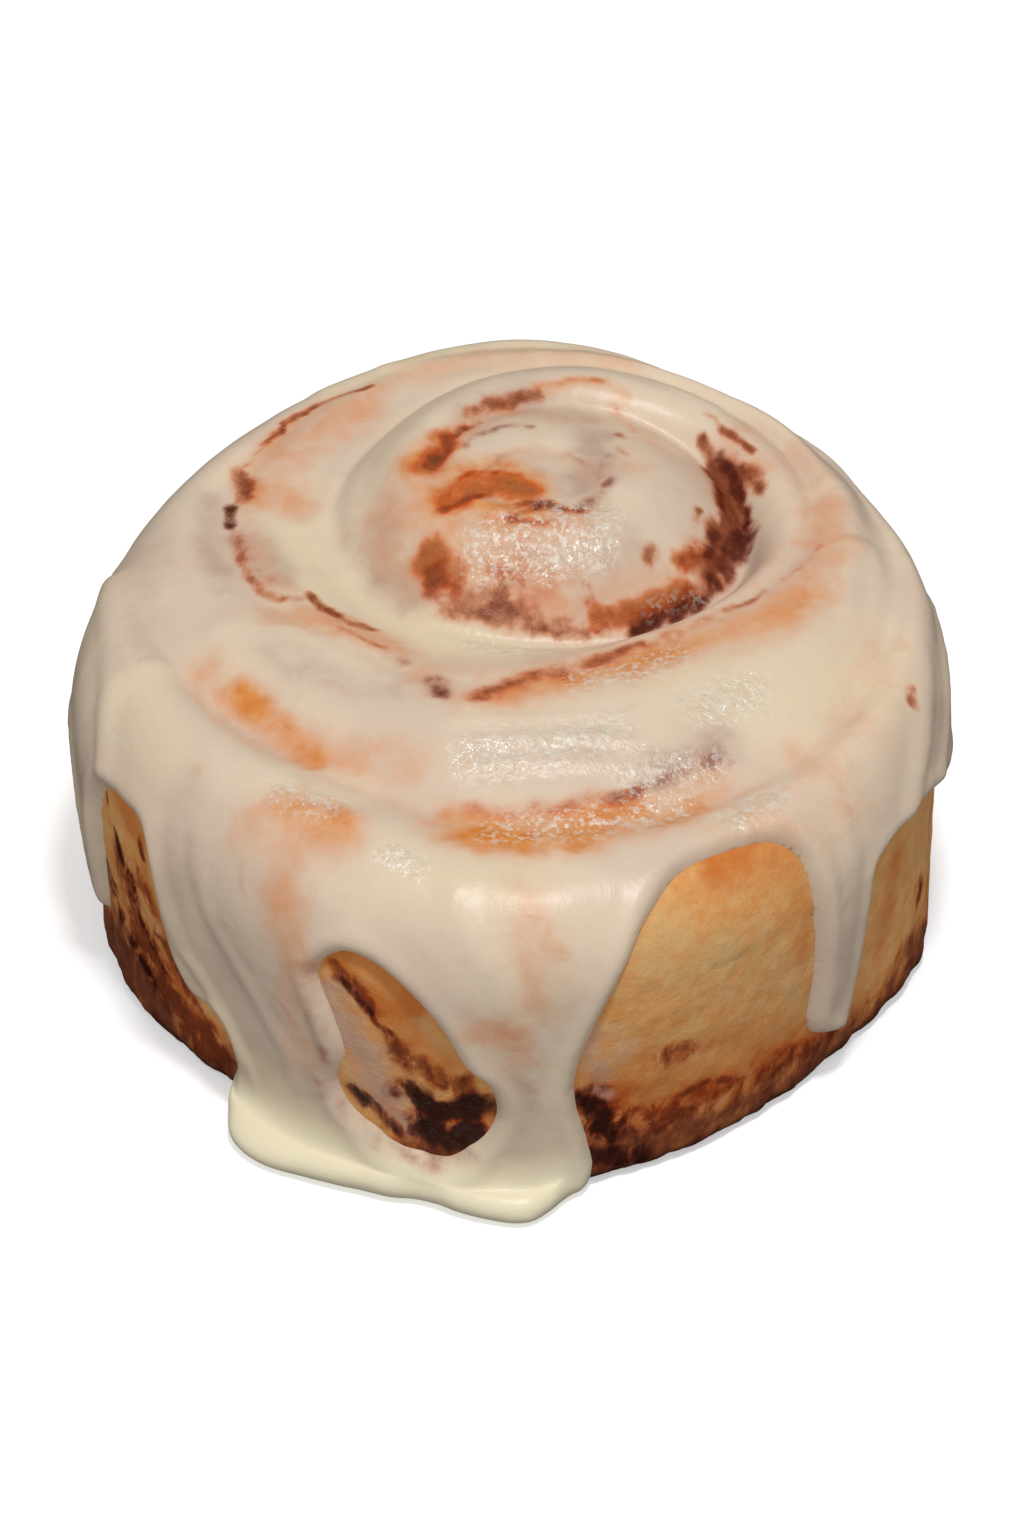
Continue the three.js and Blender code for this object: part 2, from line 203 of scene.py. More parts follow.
# Small ripples where the icing ran over the front of the crown.
RIPPLE_MIDDLE = np.array([4, -26])
RIPPLE_REACH = np.array([17, 7])
RIPPLE_PITCH = 3.3
RIPPLE_HEIGHT = 0.18
RIPPLE_WANDER = 1.5
RIPPLE_SEED = 5

# What shows through the icing: the stain, half width, strength, and a line of places.
CROWN_STAINS = [
    # the curl at the middle of the swirl
    ("orange", 2.2, 0.8, [(-12.4, 18.6), (-10.4, 20.6), (-8.4, 23)]),
    ("amber", 1.8, 0.8, [(-10.8, 17.6), (-9.6, 20.5), (-8, 24)]),
    ("rust", 1.1, 0.85, [(-10, 18.4), (-8.8, 21), (-7.8, 24)]),
    ("rust", 0.7, 0.8, [(-8, 24), (-6.4, 26.4), (-4, 28.4)]),
    ("orange", 1.4, 0.5, [(-7.6, 24.4), (-4.6, 29.4), (-1.2, 32)]),
    ("rust", 0.9, 0.75, [(-5.4, 29.4), (-3, 31.6), (0, 33.2), (3.6, 34.6)]),
    ("orange", 0.9, 0.7, [(3.4, 35.2), (8, 36.6), (12.4, 37), (14.2, 35.2)]),
    ("rust", 0.5, 0.5, [(4.4, 35.6), (8, 36.8), (12.4, 37.2)]),
    ("orange", 1, 0.6, [(12.8, 34.5), (14.4, 32), (15.2, 29)]),
    ("rust", 0.6, 0.5, [(13, 34), (14.4, 31.6)]),
    ("rust", 0.8, 0.6, [(13.4, 27), (14.4, 25.4)]),
    ("rust", 0.6, 0.5, [(13.6, 22.6), (14.8, 21.6)]),
    ("peach", 3.2, 0.9, [(-16.5, 13.5), (-14, 16.5), (-12, 19)]),
    ("orange", 3.6, 1.2, [(-7.4, 12.2), (-5.2, 15.2), (-1.6, 16.4), (1.2, 14.2)]),
    ("amber", 2.8, 0.9, [(-6.8, 12), (-4.4, 14.4), (-1.2, 15.4), (1, 13.4)]),
    ("orange", 1.8, 0.9, [(-9, 9.6), (-6, 10.8), (-2, 9.4), (2.4, 9.4)]),
    ("rust", 0.8, 0.75, [(-8.8, 9.8), (-6.4, 10.8), (-3.6, 11.8)]),
    ("rust", 0.7, 0.7, [(-6.6, 15.2), (-3.2, 17.2), (-1.6, 17.6)]),
    ("orange", 1.4, 0.7, [(-3.4, 19.2), (-1.4, 18)]),
    ("rust", 0.8, 0.8, [(1, 10.2), (4, 10.2), (8.6, 9.4)]),
    ("peach", 3, 1, [(-4, 7.6), (2, 7), (8, 7.6)]),
    ("rust", 0.7, 0.6, [(-0.5, 7.6), (3.5, 7.4), (6.6, 8)]),
    # These two dark plum lines are partly painted shade. They draw the shade in the swirl's groove as
    # well as the cinnamon under the glaze.
    ("plum", 0.7, 0.6, [(-6, 22.6), (-4.4, 25), (-1.4, 26.8), (2.5, 27.4)]),
    ("plum", 1, 0.6, [(8.2, 10.2), (10.6, 12), (12.4, 15.5)]),
    ("plum", 0.9, 0.4, [(11, 18.5), (12, 21)]),
    ("grey", 3.4, 0.9, [(-4, 29), (2, 32), (9.5, 31)]),
    ("grey", 3.2, 1, [(8.5, 13.5), (11, 19), (10.5, 25)]),
    ("peach", 4.2, 0.9, [(-14, 14), (-9, 8), (-4, 6)]),
    ("peach", 3.4, 0.7, [(15, 21), (17.5, 26)]),
    ("grey", 3.2, 0.9, [(-17.5, 12), (-15.5, 6), (-12, 3)]),
    ("grey", 3, 0.8, [(2, 3), (8, 2), (15, 6)]),
    # the front of the knob
    ("amber", 1.8, 1, [(-10.6, 5.8), (-9.2, 3.6), (-6.8, 2.4)]),
    ("rust", 1.6, 0.9, [(-9.8, 3), (-8, 1.2), (-4.8, 0.6), (-1.6, 0.8)]),
    ("rust", 1.3, 0.9, [(-8.4, 0.8), (-5.4, -0.4), (-2, -0.6)]),
    ("rust", 1.7, 0.75, [(-2, -0.8), (1, -0.8), (3.4, -1.4)]),
    ("rust", 2.4, 0.35, [(-4, 2.4), (2, 1.2), (9, 0.4)]),
    ("rust", 0.8, 0.7, [(-3, 2.4), (-0.6, 2.4), (0.8, 1.4)]),
    ("peach", 3, 0.9, [(-4, 3), (1, 2), (6, 1)]),
    ("rust", 0.8, 0.9, [(2.6, -2), (5.6, -2.6), (9, -2.4)]),
    ("rust", 0.8, 0.6, [(4.6, -1.4), (8.4, -1.8), (12, -1.6)]),
    ("amber", 1, 1, [(10, -1.2), (14.6, -0.2), (18.8, 1.6), (21.8, 4.2)]),
    ("amber", 1.3, 0.9, [(21, 6.6), (22.4, 8), (23.4, 9.8)]),
    ("rust", 0.9, 0.8, [(16.8, 4.8), (17.6, 6.4)]),
    ("rust", 2.4, 0.25, [(-17, 12), (-16, 7), (-12.6, 3)]),
    ("rust", 0.9, 0.9, [(21.6, 6.6), (22.6, 8.8)]),
    ("rust", 0.6, 0.6, [(22.6, 11.8), (23.4, 15.4)]),
    ("rust", 0.5, 0.6, [(8.6, 1.4), (9.6, 1.4)]),
    ("rust", 0.5, 0.5, [(9.2, -0.2), (9.9, 0.1)]),
    # the deep crease on the knob's right
    ("rust", 0.7, 0.9, [(24.2, 30.4), (25.2, 28.8), (26.8, 26.2)]),
    ("rust", 2, 1.2, [(26.4, 26), (27.4, 22.6), (27.6, 19), (27.2, 15), (25.8, 11), (24, 7.6)]),
    ("plum", 0.6, 0.8, [(26.4, 28.4), (28.2, 25.2), (29.4, 21.4), (29.8, 17.4)]),
    ("plum", 0.5, 0.6, [(25.6, 24), (26.2, 20.6), (26.6, 18.2)]),
    ("plum", 1.2, 1, [(29.2, 16.4), (28, 12.4), (26.2, 9)]),
    ("plum", 0.9, 0.8, [(25.4, 13), (24, 9.6)]),
    ("rust", 1, 0.9, [(24.8, 6.8), (22.4, 3.4), (19, 0.6), (14.6, -1.4)]),
    ("plum", 0.7, 0.9, [(25.6, 7), (23.2, 3.4), (19.8, 0.4), (15, -1.8)]),
    ("rust", 0.6, 0.9, [(26.6, 31.2), (28.4, 29.6), (30.2, 27.4)]),
    ("rust", 0.9, 0.9, [(28.8, 25.6), (30.6, 24), (31.6, 21.6)]),
    ("peach", 1.8, 0.8, [(27.6, 29.6), (30, 27), (31.6, 23.6)]),
    ("rust", 0.5, 0.5, [(27, 31), (26, 32.4), (24.6, 33)]),
    # the seam to the left of the knob
    ("rust", 0.5, 0.7, [(-18, 41.4), (-25, 38.8), (-29, 35), (-33, 29), (-35, 24)]),
    ("peach", 3.8, 1.1, [(-20, 37), (-28, 31), (-31, 25), (-28, 21)]),
    ("orange", 1, 0.5, [(-26, 37.6), (-30, 33), (-33, 28)]),
    ("rust", 1.4, 0.9, [(-34.2, 25.4), (-33.4, 21.6)]),
    ("orange", 1.6, 0.7, [(-32.4, 22.6), (-31.8, 19.2)]),
    ("plum", 0.8, 0.9, [(-35, 19.8), (-35.2, 15.8)]),
    ("rust", 0.9, 0.6, [(-34.6, 14.4), (-33.8, 10), (-32.6, 6)]),
    ("plum", 1.6, 0.35, [(-34, 12), (-31.8, 7.6), (-29.4, 5)]),
    ("grey", 2.8, 1.1, [(-33.4, 13), (-30.8, 9), (-29.4, 6)]),
    ("rust", 0.8, 0.8, [(-32, 5.4), (-30.6, 2.6), (-28.4, 1.4)]),
    ("plum", 0.7, 0.5, [(-28.4, 1.4), (-26, 1.4)]),
    ("rust", 0.9, 0.8, [(-24.8, 2.4), (-23, 0), (-20.4, -2.2), (-16.8, -3.8)]),
    ("peach", 2.8, 1.1, [(-29, -1.5), (-24, -2.6), (-19, -5), (-13.5, -8)]),
    ("rust", 0.7, 0.5, [(-21, -4.4), (-17.6, -6.6), (-15.6, -8)]),
    ("grey", 2.2, 0.8, [(-37.5, 20), (-38, 12), (-35, 3)]),
    ("plum", 1.4, 0.45, [(-15.4, -9.6), (-13, -11.4)]),
    # the second seam in the front, and the butter under it
    ("plum", 1.6, 0.75, [(-9.4, -15.4), (-8.4, -17.6)]),
    ("peach", 2.6, 0.9, [(-11, -14), (-6, -18.6), (0, -18.6)]),
    ("rust", 1.8, 0.7, [(-3.8, -18.6), (-1.2, -16.4), (2.4, -14.8), (6, -13.2)]),
    ("rust", 1.6, 0.6, [(6, -13.2), (9.6, -11.8), (14, -9.8)]),
    ("plum", 0.9, 0.3, [(11, -10.6), (17, -8.2)]),
    ("rust", 1.3, 0.55, [(14, -9.4), (20, -6.6), (25, -3.6)]),
    ("rust", 0.8, 0.6, [(26, -2.8), (29, -1.4), (31, 0.2)]),
    ("rust", 0.6, 0.5, [(33.4, 2.6), (36.4, 5.6), (38.2, 9)]),
    ("orange", 2.2, 0.75, [(-2.5, -18.6), (5, -15.8), (12, -13.2), (20, -9.6)]),
    ("orange", 2.6, 0.6, [(22, -8.2), (28, -5.8), (34, -4), (37, -1)]),
    ("peach", 4.2, 1, [(2, -16), (14, -12), (24, -8), (34, -3), (38, 6), (39, 16)]),
    # the outermost seam in the front, and the butter under it
    ("orange", 3.2, 1.15, [(-5, -38.6), (1, -39.4), (9, -38.4)]),
    ("peach", 3.4, 1, [(-8, -37), (4, -38), (18, -35), (24, -30)]),
    ("orange", 1.8, 0.8, [(-7.5, -35.6), (0, -36.4), (8, -35.4), (16, -33.4)]),
    ("orange", 2.4, 0.6, [(8, -39), (16, -37), (22, -33)]),
    ("rust", 1.3, 0.5, [(-4.8, -34.6), (0, -34.8), (6, -34.2), (12, -32.6)]),
    ("rust", 1.3, 0.6, [(10, -33), (15.6, -31.6)]),
    ("plum", 1.2, 0.55, [(15, -31.4), (20.6, -28.8), (25, -25.6)]),
    ("grey", 2.4, 0.9, [(18, -28.6), (26, -24)]),
    # butter on the left shoulder
    ("orange", 2.1, 1.15, [(-33.2, -14.4), (-30.6, -17.6)]),
    ("orange", 1.8, 0.8, [(-29.6, -18.6), (-26.4, -22.2), (-23.6, -25.4)]),
    ("peach", 3.2, 0.9, [(-37, -11), (-33, -17), (-27, -22), (-20, -26), (-12, -28)]),
    ("rust", 0.4, 0.5, [(-27.6, -19.8), (-27, -20.6)]),
    ("orange", 2.6, 0.8, [(-26.4, -34.6), (-23, -36.4), (-19.8, -37.8)]),
    ("rust", 1.6, 0.3, [(-25.4, -33.4), (-20.4, -36)]),
    ("peach", 3, 0.9, [(-31, -36), (-26, -39), (-20, -40)]),
    ("rust", 1.3, 0.35, [(-38.4, -26.6), (-37.4, -27.8)]),
    # faint marks on the right shoulder
    ("orange", 1.6, 0.45, [(33.6, -23.8), (35, -25.4)]),
    ("rust", 0.9, 0.3, [(38.4, -28), (39.4, -29.2)]),
    ("rust", 0.8, 0.7, [(48.2, -13.2), (48.6, -14.6)]),
    ("peach", 3, 0.6, [(36, 28), (40, 18), (42, 8)]),
    ("peach", 4.5, 0.6, [(44, -8), (42, -20), (36, -28)]),
    ("grey", 3.2, 0.6, [(-30, -8), (-22, -15), (-14, -17)]),
    ("grey", 3, 0.5, [(-44, 14), (-46, 2), (-46, -8)]),
]

# Stretches of seam where the glaze is thin: from and to angle, offset inwards, half width,
# strength, and what shows.
SEAM_BLUSH = [
    (430, 560, 2, 2.6, 0.75, "peach"),
    (560, 760, 1.5, 2.6, 0.55, "peach"),
    (225, 330, -1, 3.4, 0.45, "peach"),
    (840, 1000, 2.5, 2.2, 0.45, "grey"),
    (900, 1060, 4, 2.6, 0.65, "peach"),
    (1060, 1180, 3, 3, 0.55, "peach"),
    (1180, 1330, 1.2, 2.2, 0.75, "peach"),
    (1200, 1290, 0.6, 0.9, 0.35, "rust"),
    (1330, 1640, 0.8, 1.8, 0.6, "peach"),
    (1480, 1640, 0, 0.8, 0.35, "plum"),
    (960, 1030, 2.4, 1.6, 0.35, "rust"),
]
SIDE_STAINS = [
    ("peach", 3.6, 0.9, [(236, 46), (239, 40), (241, 34)]),
    ("orange", 2.2, 0.35, [(237, 44), (240, 38)]),
    ("amber", 0.9, 0.35, [(230, 43), (232, 40), (233, 38)]),
    ("grey", 3.2, 0.5, [(222, 40), (228, 34), (236, 28), (240, 20)]),
    ("grey", 2.6, 0.4, [(216, 46), (219, 36), (220, 26)]),
    ("peach", 2.8, 1, [(266.5, 31), (270, 30), (271, 26)]),
    ("amber", 2, 0.3, [(266.5, 30.6), (269.5, 30.6)]),
    ("plum", 1.4, 0.3, [(270, 23.4), (272.2, 20.4)]),
    ("peach", 3.4, 0.7, [(272, 46), (274, 40), (273, 34)]),
    ("amber", 1.8, 0.25, [(273, 45), (276, 42), (277, 39)]),
    ("grey", 2.4, 0.6, [(271, 26), (272, 18), (271, 11)]),
    ("grey", 2, 0.5, [(320, 36), (320, 26), (322, 16)]),
    ("peach", 4, 0.6, [(304, 48), (314, 46), (324, 44)]),
    ("plum", 1.8, 0.42, [(242.6, 34), (243.6, 28), (245, 21), (244, 16)]),
    ("plum", 1.5, 0.42, [(244.6, 14), (248, 10.4), (253, 7.4), (260, 6.4), (264.6, 8)]),
    ("peach", 2.6, 0.8, [(240, 34), (241, 26), (241, 18)]),
    ("grey", 3, 0.5, [(238, 30), (239, 20), (242, 13)]),
    ("cream", 2.6, 1, [(228, 15), (233, 12), (240, 9), (247, 5)]),
    ("grey", 3, 0.6, [(180, 42), (186, 38), (192, 34)]),
    ("grey", 2.4, 0.5, [(346, 44), (352, 40), (358, 38)]),
]

# Where the icing lies thick and creamy: half width, strength, and a line of places.
THICK_PLACES = [
    (4.5, 1, [(-27, 12), (-25, 6), (-19, 3.5), (-12, -2.5), (-2, -6)]),
    (4.5, 0.9, [(-14, -44), (-8, -46), (-2, -47)]),
    (6, 0.8, [(24, -16), (34, -14), (42, -12)]),
    (4, 0.8, [(-22, 43), (-6, 48), (10, 48)]),
    (3.2, 0.7, [(-16, 26), (-10, 34), (-4, 38)]),
    (4, 0.7, [(-46, -14), (-42, -24)]),
]

# Where the glaze dried grainy and sparkles. Spots here also get a painted highlight: white mixed into
# the icing's colour.
SPARKLE_PLACES = [
    (3.2, 1, [(-3, 5), (4, 5.5), (10, 6)]),
    (2.6, 0.9, [(5, 8.5), (12, 9)]),
    (1.2, 0.45, [(17, 0.5), (24, 4.5)]),
    (1.6, 0.9, [(-5, -5), (2, -5.8), (6, -5.4)]),
    (2.4, 0.8, [(8, -15.5), (14, -14), (20, -11)]),
    (3.2, 0.9, [(23, -19.5), (28, -17)]),
    (2.6, 0.7, [(14, -30), (24, -27)]),
    (3, 0.8, [(-2, -38), (10, -36.5), (20, -33)]),
    (1.6, 0.8, [(-15, -42), (-11, -44)]),
    (2.6, 0.8, [(-27, -33), (-22, -35)]),
    (2.2, 0.8, [(26, -36), (31, -32)]),
    (3.6, 0.8, [(-4, -27.5), (4, -26.5), (12, -24.5)]),
]

# What shows on the bare side of the dough, in angle and height.
DOUGH_STAINS = [
    # the broad patch at the right of the front
    ("amber", 3, 0.9, [(300, 44), (306, 44), (311, 42)]),
    ("amber", 2, 0.6, [(312, 38), (313, 32), (313, 26)]),
    ("pale", 5, 1, [(289, 38), (293, 34), (300, 34)]),
    ("pale", 4, 0.7, [(296, 27), (304, 31), (308, 25)]),
    ("pale", 1.6, 0.8, [(311, 28), (312, 22), (313, 19)]),
    ("amber", 3.4, 0.7, [(299, 20), (304, 16), (309, 12)]),
    ("amber", 2.6, 0.8, [(287, 18), (290, 15), (293, 12)]),
    ("amber", 4.6, 0.9, [(281, 18), (290, 14), (302, 12), (314, 11), (322, 10)]),
    ("rust", 4.6, 0.55, [(281, 14), (290, 10), (302, 9), (314, 8), (322, 7)]),
    ("veil", 3, 0.5, [(281, 26), (284, 24)]),
    ("rust", 2.6, 0.75, [(289.6, 20.6), (293.6, 20)]),
    ("rust", 2.2, 0.8, [(281.4, 17), (284, 13), (288, 10.5), (292, 9.6)]),
    ("plum", 2.2, 1, [(279.6, 17), (281.2, 13), (283.4, 9.6)]),
    ("plum", 1.8, 0.9, [(279.4, 7), (283, 4.6), (288, 3.6)]),
    ("veil", 1.6, 0.8, [(279.8, 28), (280.8, 23), (282, 20)]),
    ("veil", 1, 0.7, [(281, 17.6), (283, 16)]),
    ("rust", 1, 0.7, [(294, 12.4), (299, 12.6), (302, 11)]),
    # the far right
    ("rust", 1.8, 0.9, [(345, 17.5), (347, 14.5)]),
    ("amber", 2.6, 0.7, [(334, 30), (334, 20), (334, 14)]),
    ("rust", 1.6, 0.5, [(350, 26), (352, 16), (353, 9)]),
    # the left strip
    ("amber", 2.2, 1, [(203, 38), (207, 36), (210, 35)]),
    ("rust", 0.7, 1, [(209.4, 35.4), (210.4, 32.6)]),
    ("rust", 0.5, 0.9, [(199.6, 37), (200.4, 33.6)]),
    ("amber", 1.7, 0.8, [(210, 32), (212, 26), (214, 20), (217, 15)]),
    ("rust", 2.4, 0.8, [(209, 28), (212, 22), (215, 16), (219, 10)]),
    ("amber", 1, 0.9, [(212, 16), (215, 11), (219, 8)]),
    ("rust", 4, 1, [(204, 27), (206, 18), (210, 10), (218, 6)]),
    ("plum", 1.5, 0.7, [(202, 31), (206, 26), (210, 20.5)]),
    ("plum", 1.2, 0.6, [(205, 23), (208, 18), (211, 13)]),
    ("plum", 2.2, 0.7, [(196, 22), (201, 14), (206, 9)]),
    # the window in the front sheet
    ("amber", 2.8, 1.1, [(246, 37), (252, 36), (257, 32)]),
    ("amber", 2.6, 1, [(252, 32), (257, 27), (261, 24)]),
    ("pale", 1.6, 1, [(256, 31.6), (259.6, 28), (262, 25)]),
    ("rust", 1.2, 0.9, [(246.4, 35), (249.4, 33), (252.6, 29)]),
    ("plum", 0.8, 0.8, [(246.6, 33.6), (249, 31.6), (252, 28.6), (254, 26.4)]),
    ("veil", 3, 1, [(245, 30), (248, 25), (251, 20), (253, 16)]),
    ("veil", 2, 0.8, [(250, 15.4), (253.4, 13.6), (256, 11)]),
    ("rust", 2.2, 1, [(254.6, 24), (258, 21.6), (263, 19.6)]),
    ("rust", 3.4, 0.7, [(254, 16), (260, 13), (265, 15)]),
    ("plum", 2.2, 1.2, [(256.4, 17), (259.6, 14.6), (263.6, 15.2), (266.6, 17)]),
    ("plum", 2.2, 1.2, [(258, 11.4), (262, 10), (265, 11.2)]),
    ("plum", 1.4, 0.8, [(248, 14.6), (251.6, 12), (254, 9.6)]),
    ("amber", 0.9, 1.1, [(262, 15), (262.8, 13)]),
    ("amber", 0.8, 1, [(266, 13.4), (266.6, 11.8)]),
]

# How high the burnt foot reaches, by angle.
BURNT = np.array([
    [0, 7], [30, 6], [60, 8], [90, 7], [120, 8], [150, 9], [180, 12], [198, 19], [210, 14],
    [225, 8], [245, 8], [262, 12], [276, 14], [284, 13], [292, 11], [302, 9], [314, 8],
    [326, 8], [338, 9], [347, 10],
])


def track(rows, at, column):
    """A smooth value between the rows of a table whose first column rises."""
    place = np.clip(at, rows[0, 0], rows[-1, 0])
    k = np.clip(np.searchsorted(rows[:, 0], place, side="right") - 1, 0, len(rows) - 2)
    before, after = np.maximum(k - 1, 0), np.minimum(k + 2, len(rows) - 1)
    x, y = rows[:, 0], rows[:, column]
    span = x[k + 1] - x[k]
    slope_a = (y[k + 1] - y[before]) / (x[k + 1] - x[before]) * span
    slope_b = (y[after] - y[k]) / (x[after] - x[k]) * span
    t = (place - x[k]) / span
    return (
        y[k] * (1 + 2 * t) * (1 - t) ** 2
        + y[k + 1] * t * t * (3 - 2 * t)
        + slope_a * t * (1 - t) ** 2
        - slope_b * t * t * (1 - t)
    )


def around(rows, degrees, column=1):
    """The same for a table that goes once around the roll."""
    whole = np.concatenate([rows, rows, rows]).astype(float)
    whole[:, 0] += np.repeat([-TURN, 0, TURN], len(rows))
    return track(whole, np.mod(degrees, TURN), column)


def angle_of(x, y):
    return np.mod(np.degrees(np.arctan2(y, x)), TURN)


def polar(points):
    """Each point's angle around the roll, and its distance from the upright axis."""
    return angle_of(points[:, 0], points[:, 1]), np.hypot(points[:, 0], points[:, 1])


def smooth(low, high, value):
    t = np.clip((value - low) / (high - low), 0, 1)
    return t * t * (3 - 2 * t)


def belly_radius(degrees):
    return around(PLAN, degrees, 1)


HASH_X, HASH_Y, HASH_Z = 73856093, 19349663, 83492791
HASH_SEED, HASH_MIX = 2654435761, 1274126177


def noise(points, size, seed):
    """A smooth random field from -1 to 1 with features about size across."""
    scaled = points / size
    cell = np.floor(scaled).astype(np.int64)
    part = scaled - cell
    ease = part * part * (3 - 2 * part)
    total = np.zeros(len(points))
    for corner in np.ndindex(2, 2, 2):
        x, y, z = (cell + corner).T
        mixed = (x * HASH_X) ^ (y * HASH_Y) ^ (z * HASH_Z) ^ (seed * HASH_SEED)
        mixed = (mixed ^ (mixed >> 13)) * HASH_MIX & 0xFFFFFFFF
        value = ((mixed ^ (mixed >> 16)) & 0xFFFF) / 32767.5 - 1
        weight = np.prod(np.where(corner, ease, 1 - ease), axis=1)
        total += weight * value
    return total


def layered(points, size, seed, layers=3):
    """Noise with finer layers added, each half the size and strength of the last."""
    total = sum(noise(points, size / 2**k, seed + k) / 2**k for k in range(layers))
    return total / (2 - 2 / 2**layers)


def uneven(points, height, size, seed, layers):
    return height * layered(points, size, seed, layers)


def crown(x, y):
    """The crown's height before its shoulder rolls over, and the icing lying there."""
    swirl_x, swirl_y = x - SWIRL[0], y - SWIRL[1]
    swirl_degrees = angle_of(swirl_x, swirl_y)
    degrees = angle_of(x, y)
    radius = np.hypot(swirl_x, swirl_y)
    along = SWIRL[0] * np.cos(np.radians(swirl_degrees))
    along = along + SWIRL[1] * np.sin(np.radians(swirl_degrees))
    edge = np.sqrt(along**2 - SWIRL @ SWIRL + belly_radius(degrees) ** 2) - along
    rim = around(RIM, degrees)
    outer = [edge, rim, np.zeros_like(x), np.zeros_like(x)]
    fade = np.zeros_like(x)
    height, icing = np.zeros_like(x), np.zeros_like(x)
    done = np.zeros(x.shape, bool)
    # each coil, from the outside in, takes the places between the seam's two turns beside it
    for turn in range(math.ceil(SEAM[-1, 0] / TURN) + 1):
        seam_degrees = swirl_degrees + TURN * turn
        middle = seam_degrees > SEAM[-1, 0]
        inner = [track(SEAM, seam_degrees, column) for column in (1, 2, 3, 4)]
        inner[0] = np.where(middle, 0, inner[0])
        inner[1] = np.where(middle, outer[1], inner[1])
        inner[3] = np.where(middle, 0, inner[3])
        crossed = seam_degrees >= SEAM[0, 0]
        here = crossed & ~done & (radius >= inner[0])
        from_edge = np.clip((edge - radius) / np.maximum(edge - inner[0], 1e-6), 0, 1)
        plain = rim + (inner[1] - rim) * from_edge**3
        u = np.clip((outer[0] - radius) / np.maximum(outer[0] - inner[0], 1e-6), 0, 1)
        level = outer[1] + (inner[1] - outer[1]) * u
        share = np.where(middle, 0.5 * u, u)
        rise = outer[2] * np.maximum(np.sin(np.pi * share), 0) ** PILLOW_POWER
        near_outer = outer[3] * np.exp(-(((outer[0] - radius) / FILL_WIDTH) ** 2))
        near_inner = inner[3] * np.exp(-(((radius - inner[0]) / FILL_WIDTH) ** 2))
        height = np.where(here, plain + (level + rise - plain) * fade, height)
        icing = np.where(here, ICING_TOP + near_outer + near_inner, icing)
        done |= here
        onward = crossed & ~done
        outer = [np.where(onward, new, old) for new, old in zip(inner, outer)]
        start = SEAM[0, 0]
        fade = np.where(onward, smooth(start, start + SEAM_FADE, seam_degrees), fade)
    return height, icing


def column_angles(columns):
    """Angles around the roll, packed twice as close at the front as at the back."""
    even = np.arange(columns) / columns * TURN
    return np.mod(even - np.degrees(FRONT_CROWDING * np.sin(np.radians(even - FRONT))), TURN)


def dough_grid(columns, crown_rings, shoulder_rings, side_rings):
    """Rings of places on the dough's skin, from the crown to the underside.

    Returns the points, the ways out, the depth of icing and each place's plain height.
    """
    degrees = column_angles(columns)[None, :]
    cosine, sine = np.cos(np.radians(degrees)), np.sin(np.radians(degrees))
    shares = CROWN_EDGE * (np.arange(1, crown_rings + 1) / crown_rings)
    start = math.asin(CROWN_EDGE ** (SHOULDER_POWER / 2))
    rolled = start + (math.pi / 2 - start) * np.arange(1, shoulder_rings + 1) / shoulder_rings
    phi = np.concatenate([np.arcsin(shares ** (SHOULDER_POWER / 2)), rolled])[:, None]
    share = np.sin(phi) ** (2 / SHOULDER_POWER)
    lift = np.maximum(np.cos(phi), 0) ** (2 / CROWN_POWER)
    radius = belly_radius(degrees) * share
    x = SWIRL[0] * (1 - share**2) + radius * cosine
    y = SWIRL[1] * (1 - share**2) + radius * sine
    height, icing = crown(x, y)
    for _ in range(SOFTENING):
        height[1:-1] = (height[:-2] + 2 * height[1:-1] + height[2:]) / 4
        height = (np.roll(height, 1, 1) + 2 * height + np.roll(height, -1, 1)) / 4
    crown_points = np.stack([x, y, BELLY_HEIGHT + (height - BELLY_HEIGHT) * lift], -1)
    flat = np.sin(phi) ** 3
    up = np.maximum(np.cos(phi), 0)
    length = np.hypot(flat, up)
    crown_out = np.stack(
        [flat / length * cosine, flat / length * sine, up / length + 0 * cosine], -1
    )
    crown_depth = ICING_SIDE + (icing - ICING_SIDE) * up
    crown_plain = BELLY_HEIGHT + (around(RIM, degrees) - BELLY_HEIGHT) * lift

    heights = BELLY_HEIGHT * (1 - np.arange(1, side_rings + 1) / side_rings)[:, None]
    foot = np.maximum(0, 1 - heights / FOOT_HEIGHT)
    inset = FOOT_INSET * (1 - np.sqrt(1 - foot**2))
    drop = smooth(0, 1, 1 - heights / BELLY_HEIGHT)
    foot_radius = around(PLAN, degrees, 2)
    side = belly_radius(degrees) * (1 - drop) + foot_radius * drop - inset
    side_points = np.stack([side * cosine, side * sine, heights + 0 * side], -1)
    side_out = np.stack([cosine + 0 * side, sine + 0 * side, 0 * side], -1)
    return {
        "degrees": degrees[0],
        "points": np.concatenate([crown_points, side_points]),
        "out": np.concatenate([crown_out, side_out]),
        "depth": np.concatenate([crown_depth, ICING_SIDE + 0 * side]),
        "plain": np.concatenate([crown_plain, heights + 0 * side]),
        "crown_rings": len(phi),
    }


def line_nearness(places, half_width, corners):
    """1 on a line, a half at its half width, and 0 from twice that on."""
    distance = line_distance(places, np.array(corners, float))
    return 1 - smooth(0.0, 2.0 * half_width, distance)


def wander(points, seed, reach):
    """A small random shift at each point, which gives a line drawn there ragged sides."""
    shift = [layered(points, 3.0 * reach, seed + axis, 3) for axis in range(2)]
    return reach * np.stack(shift, -1)


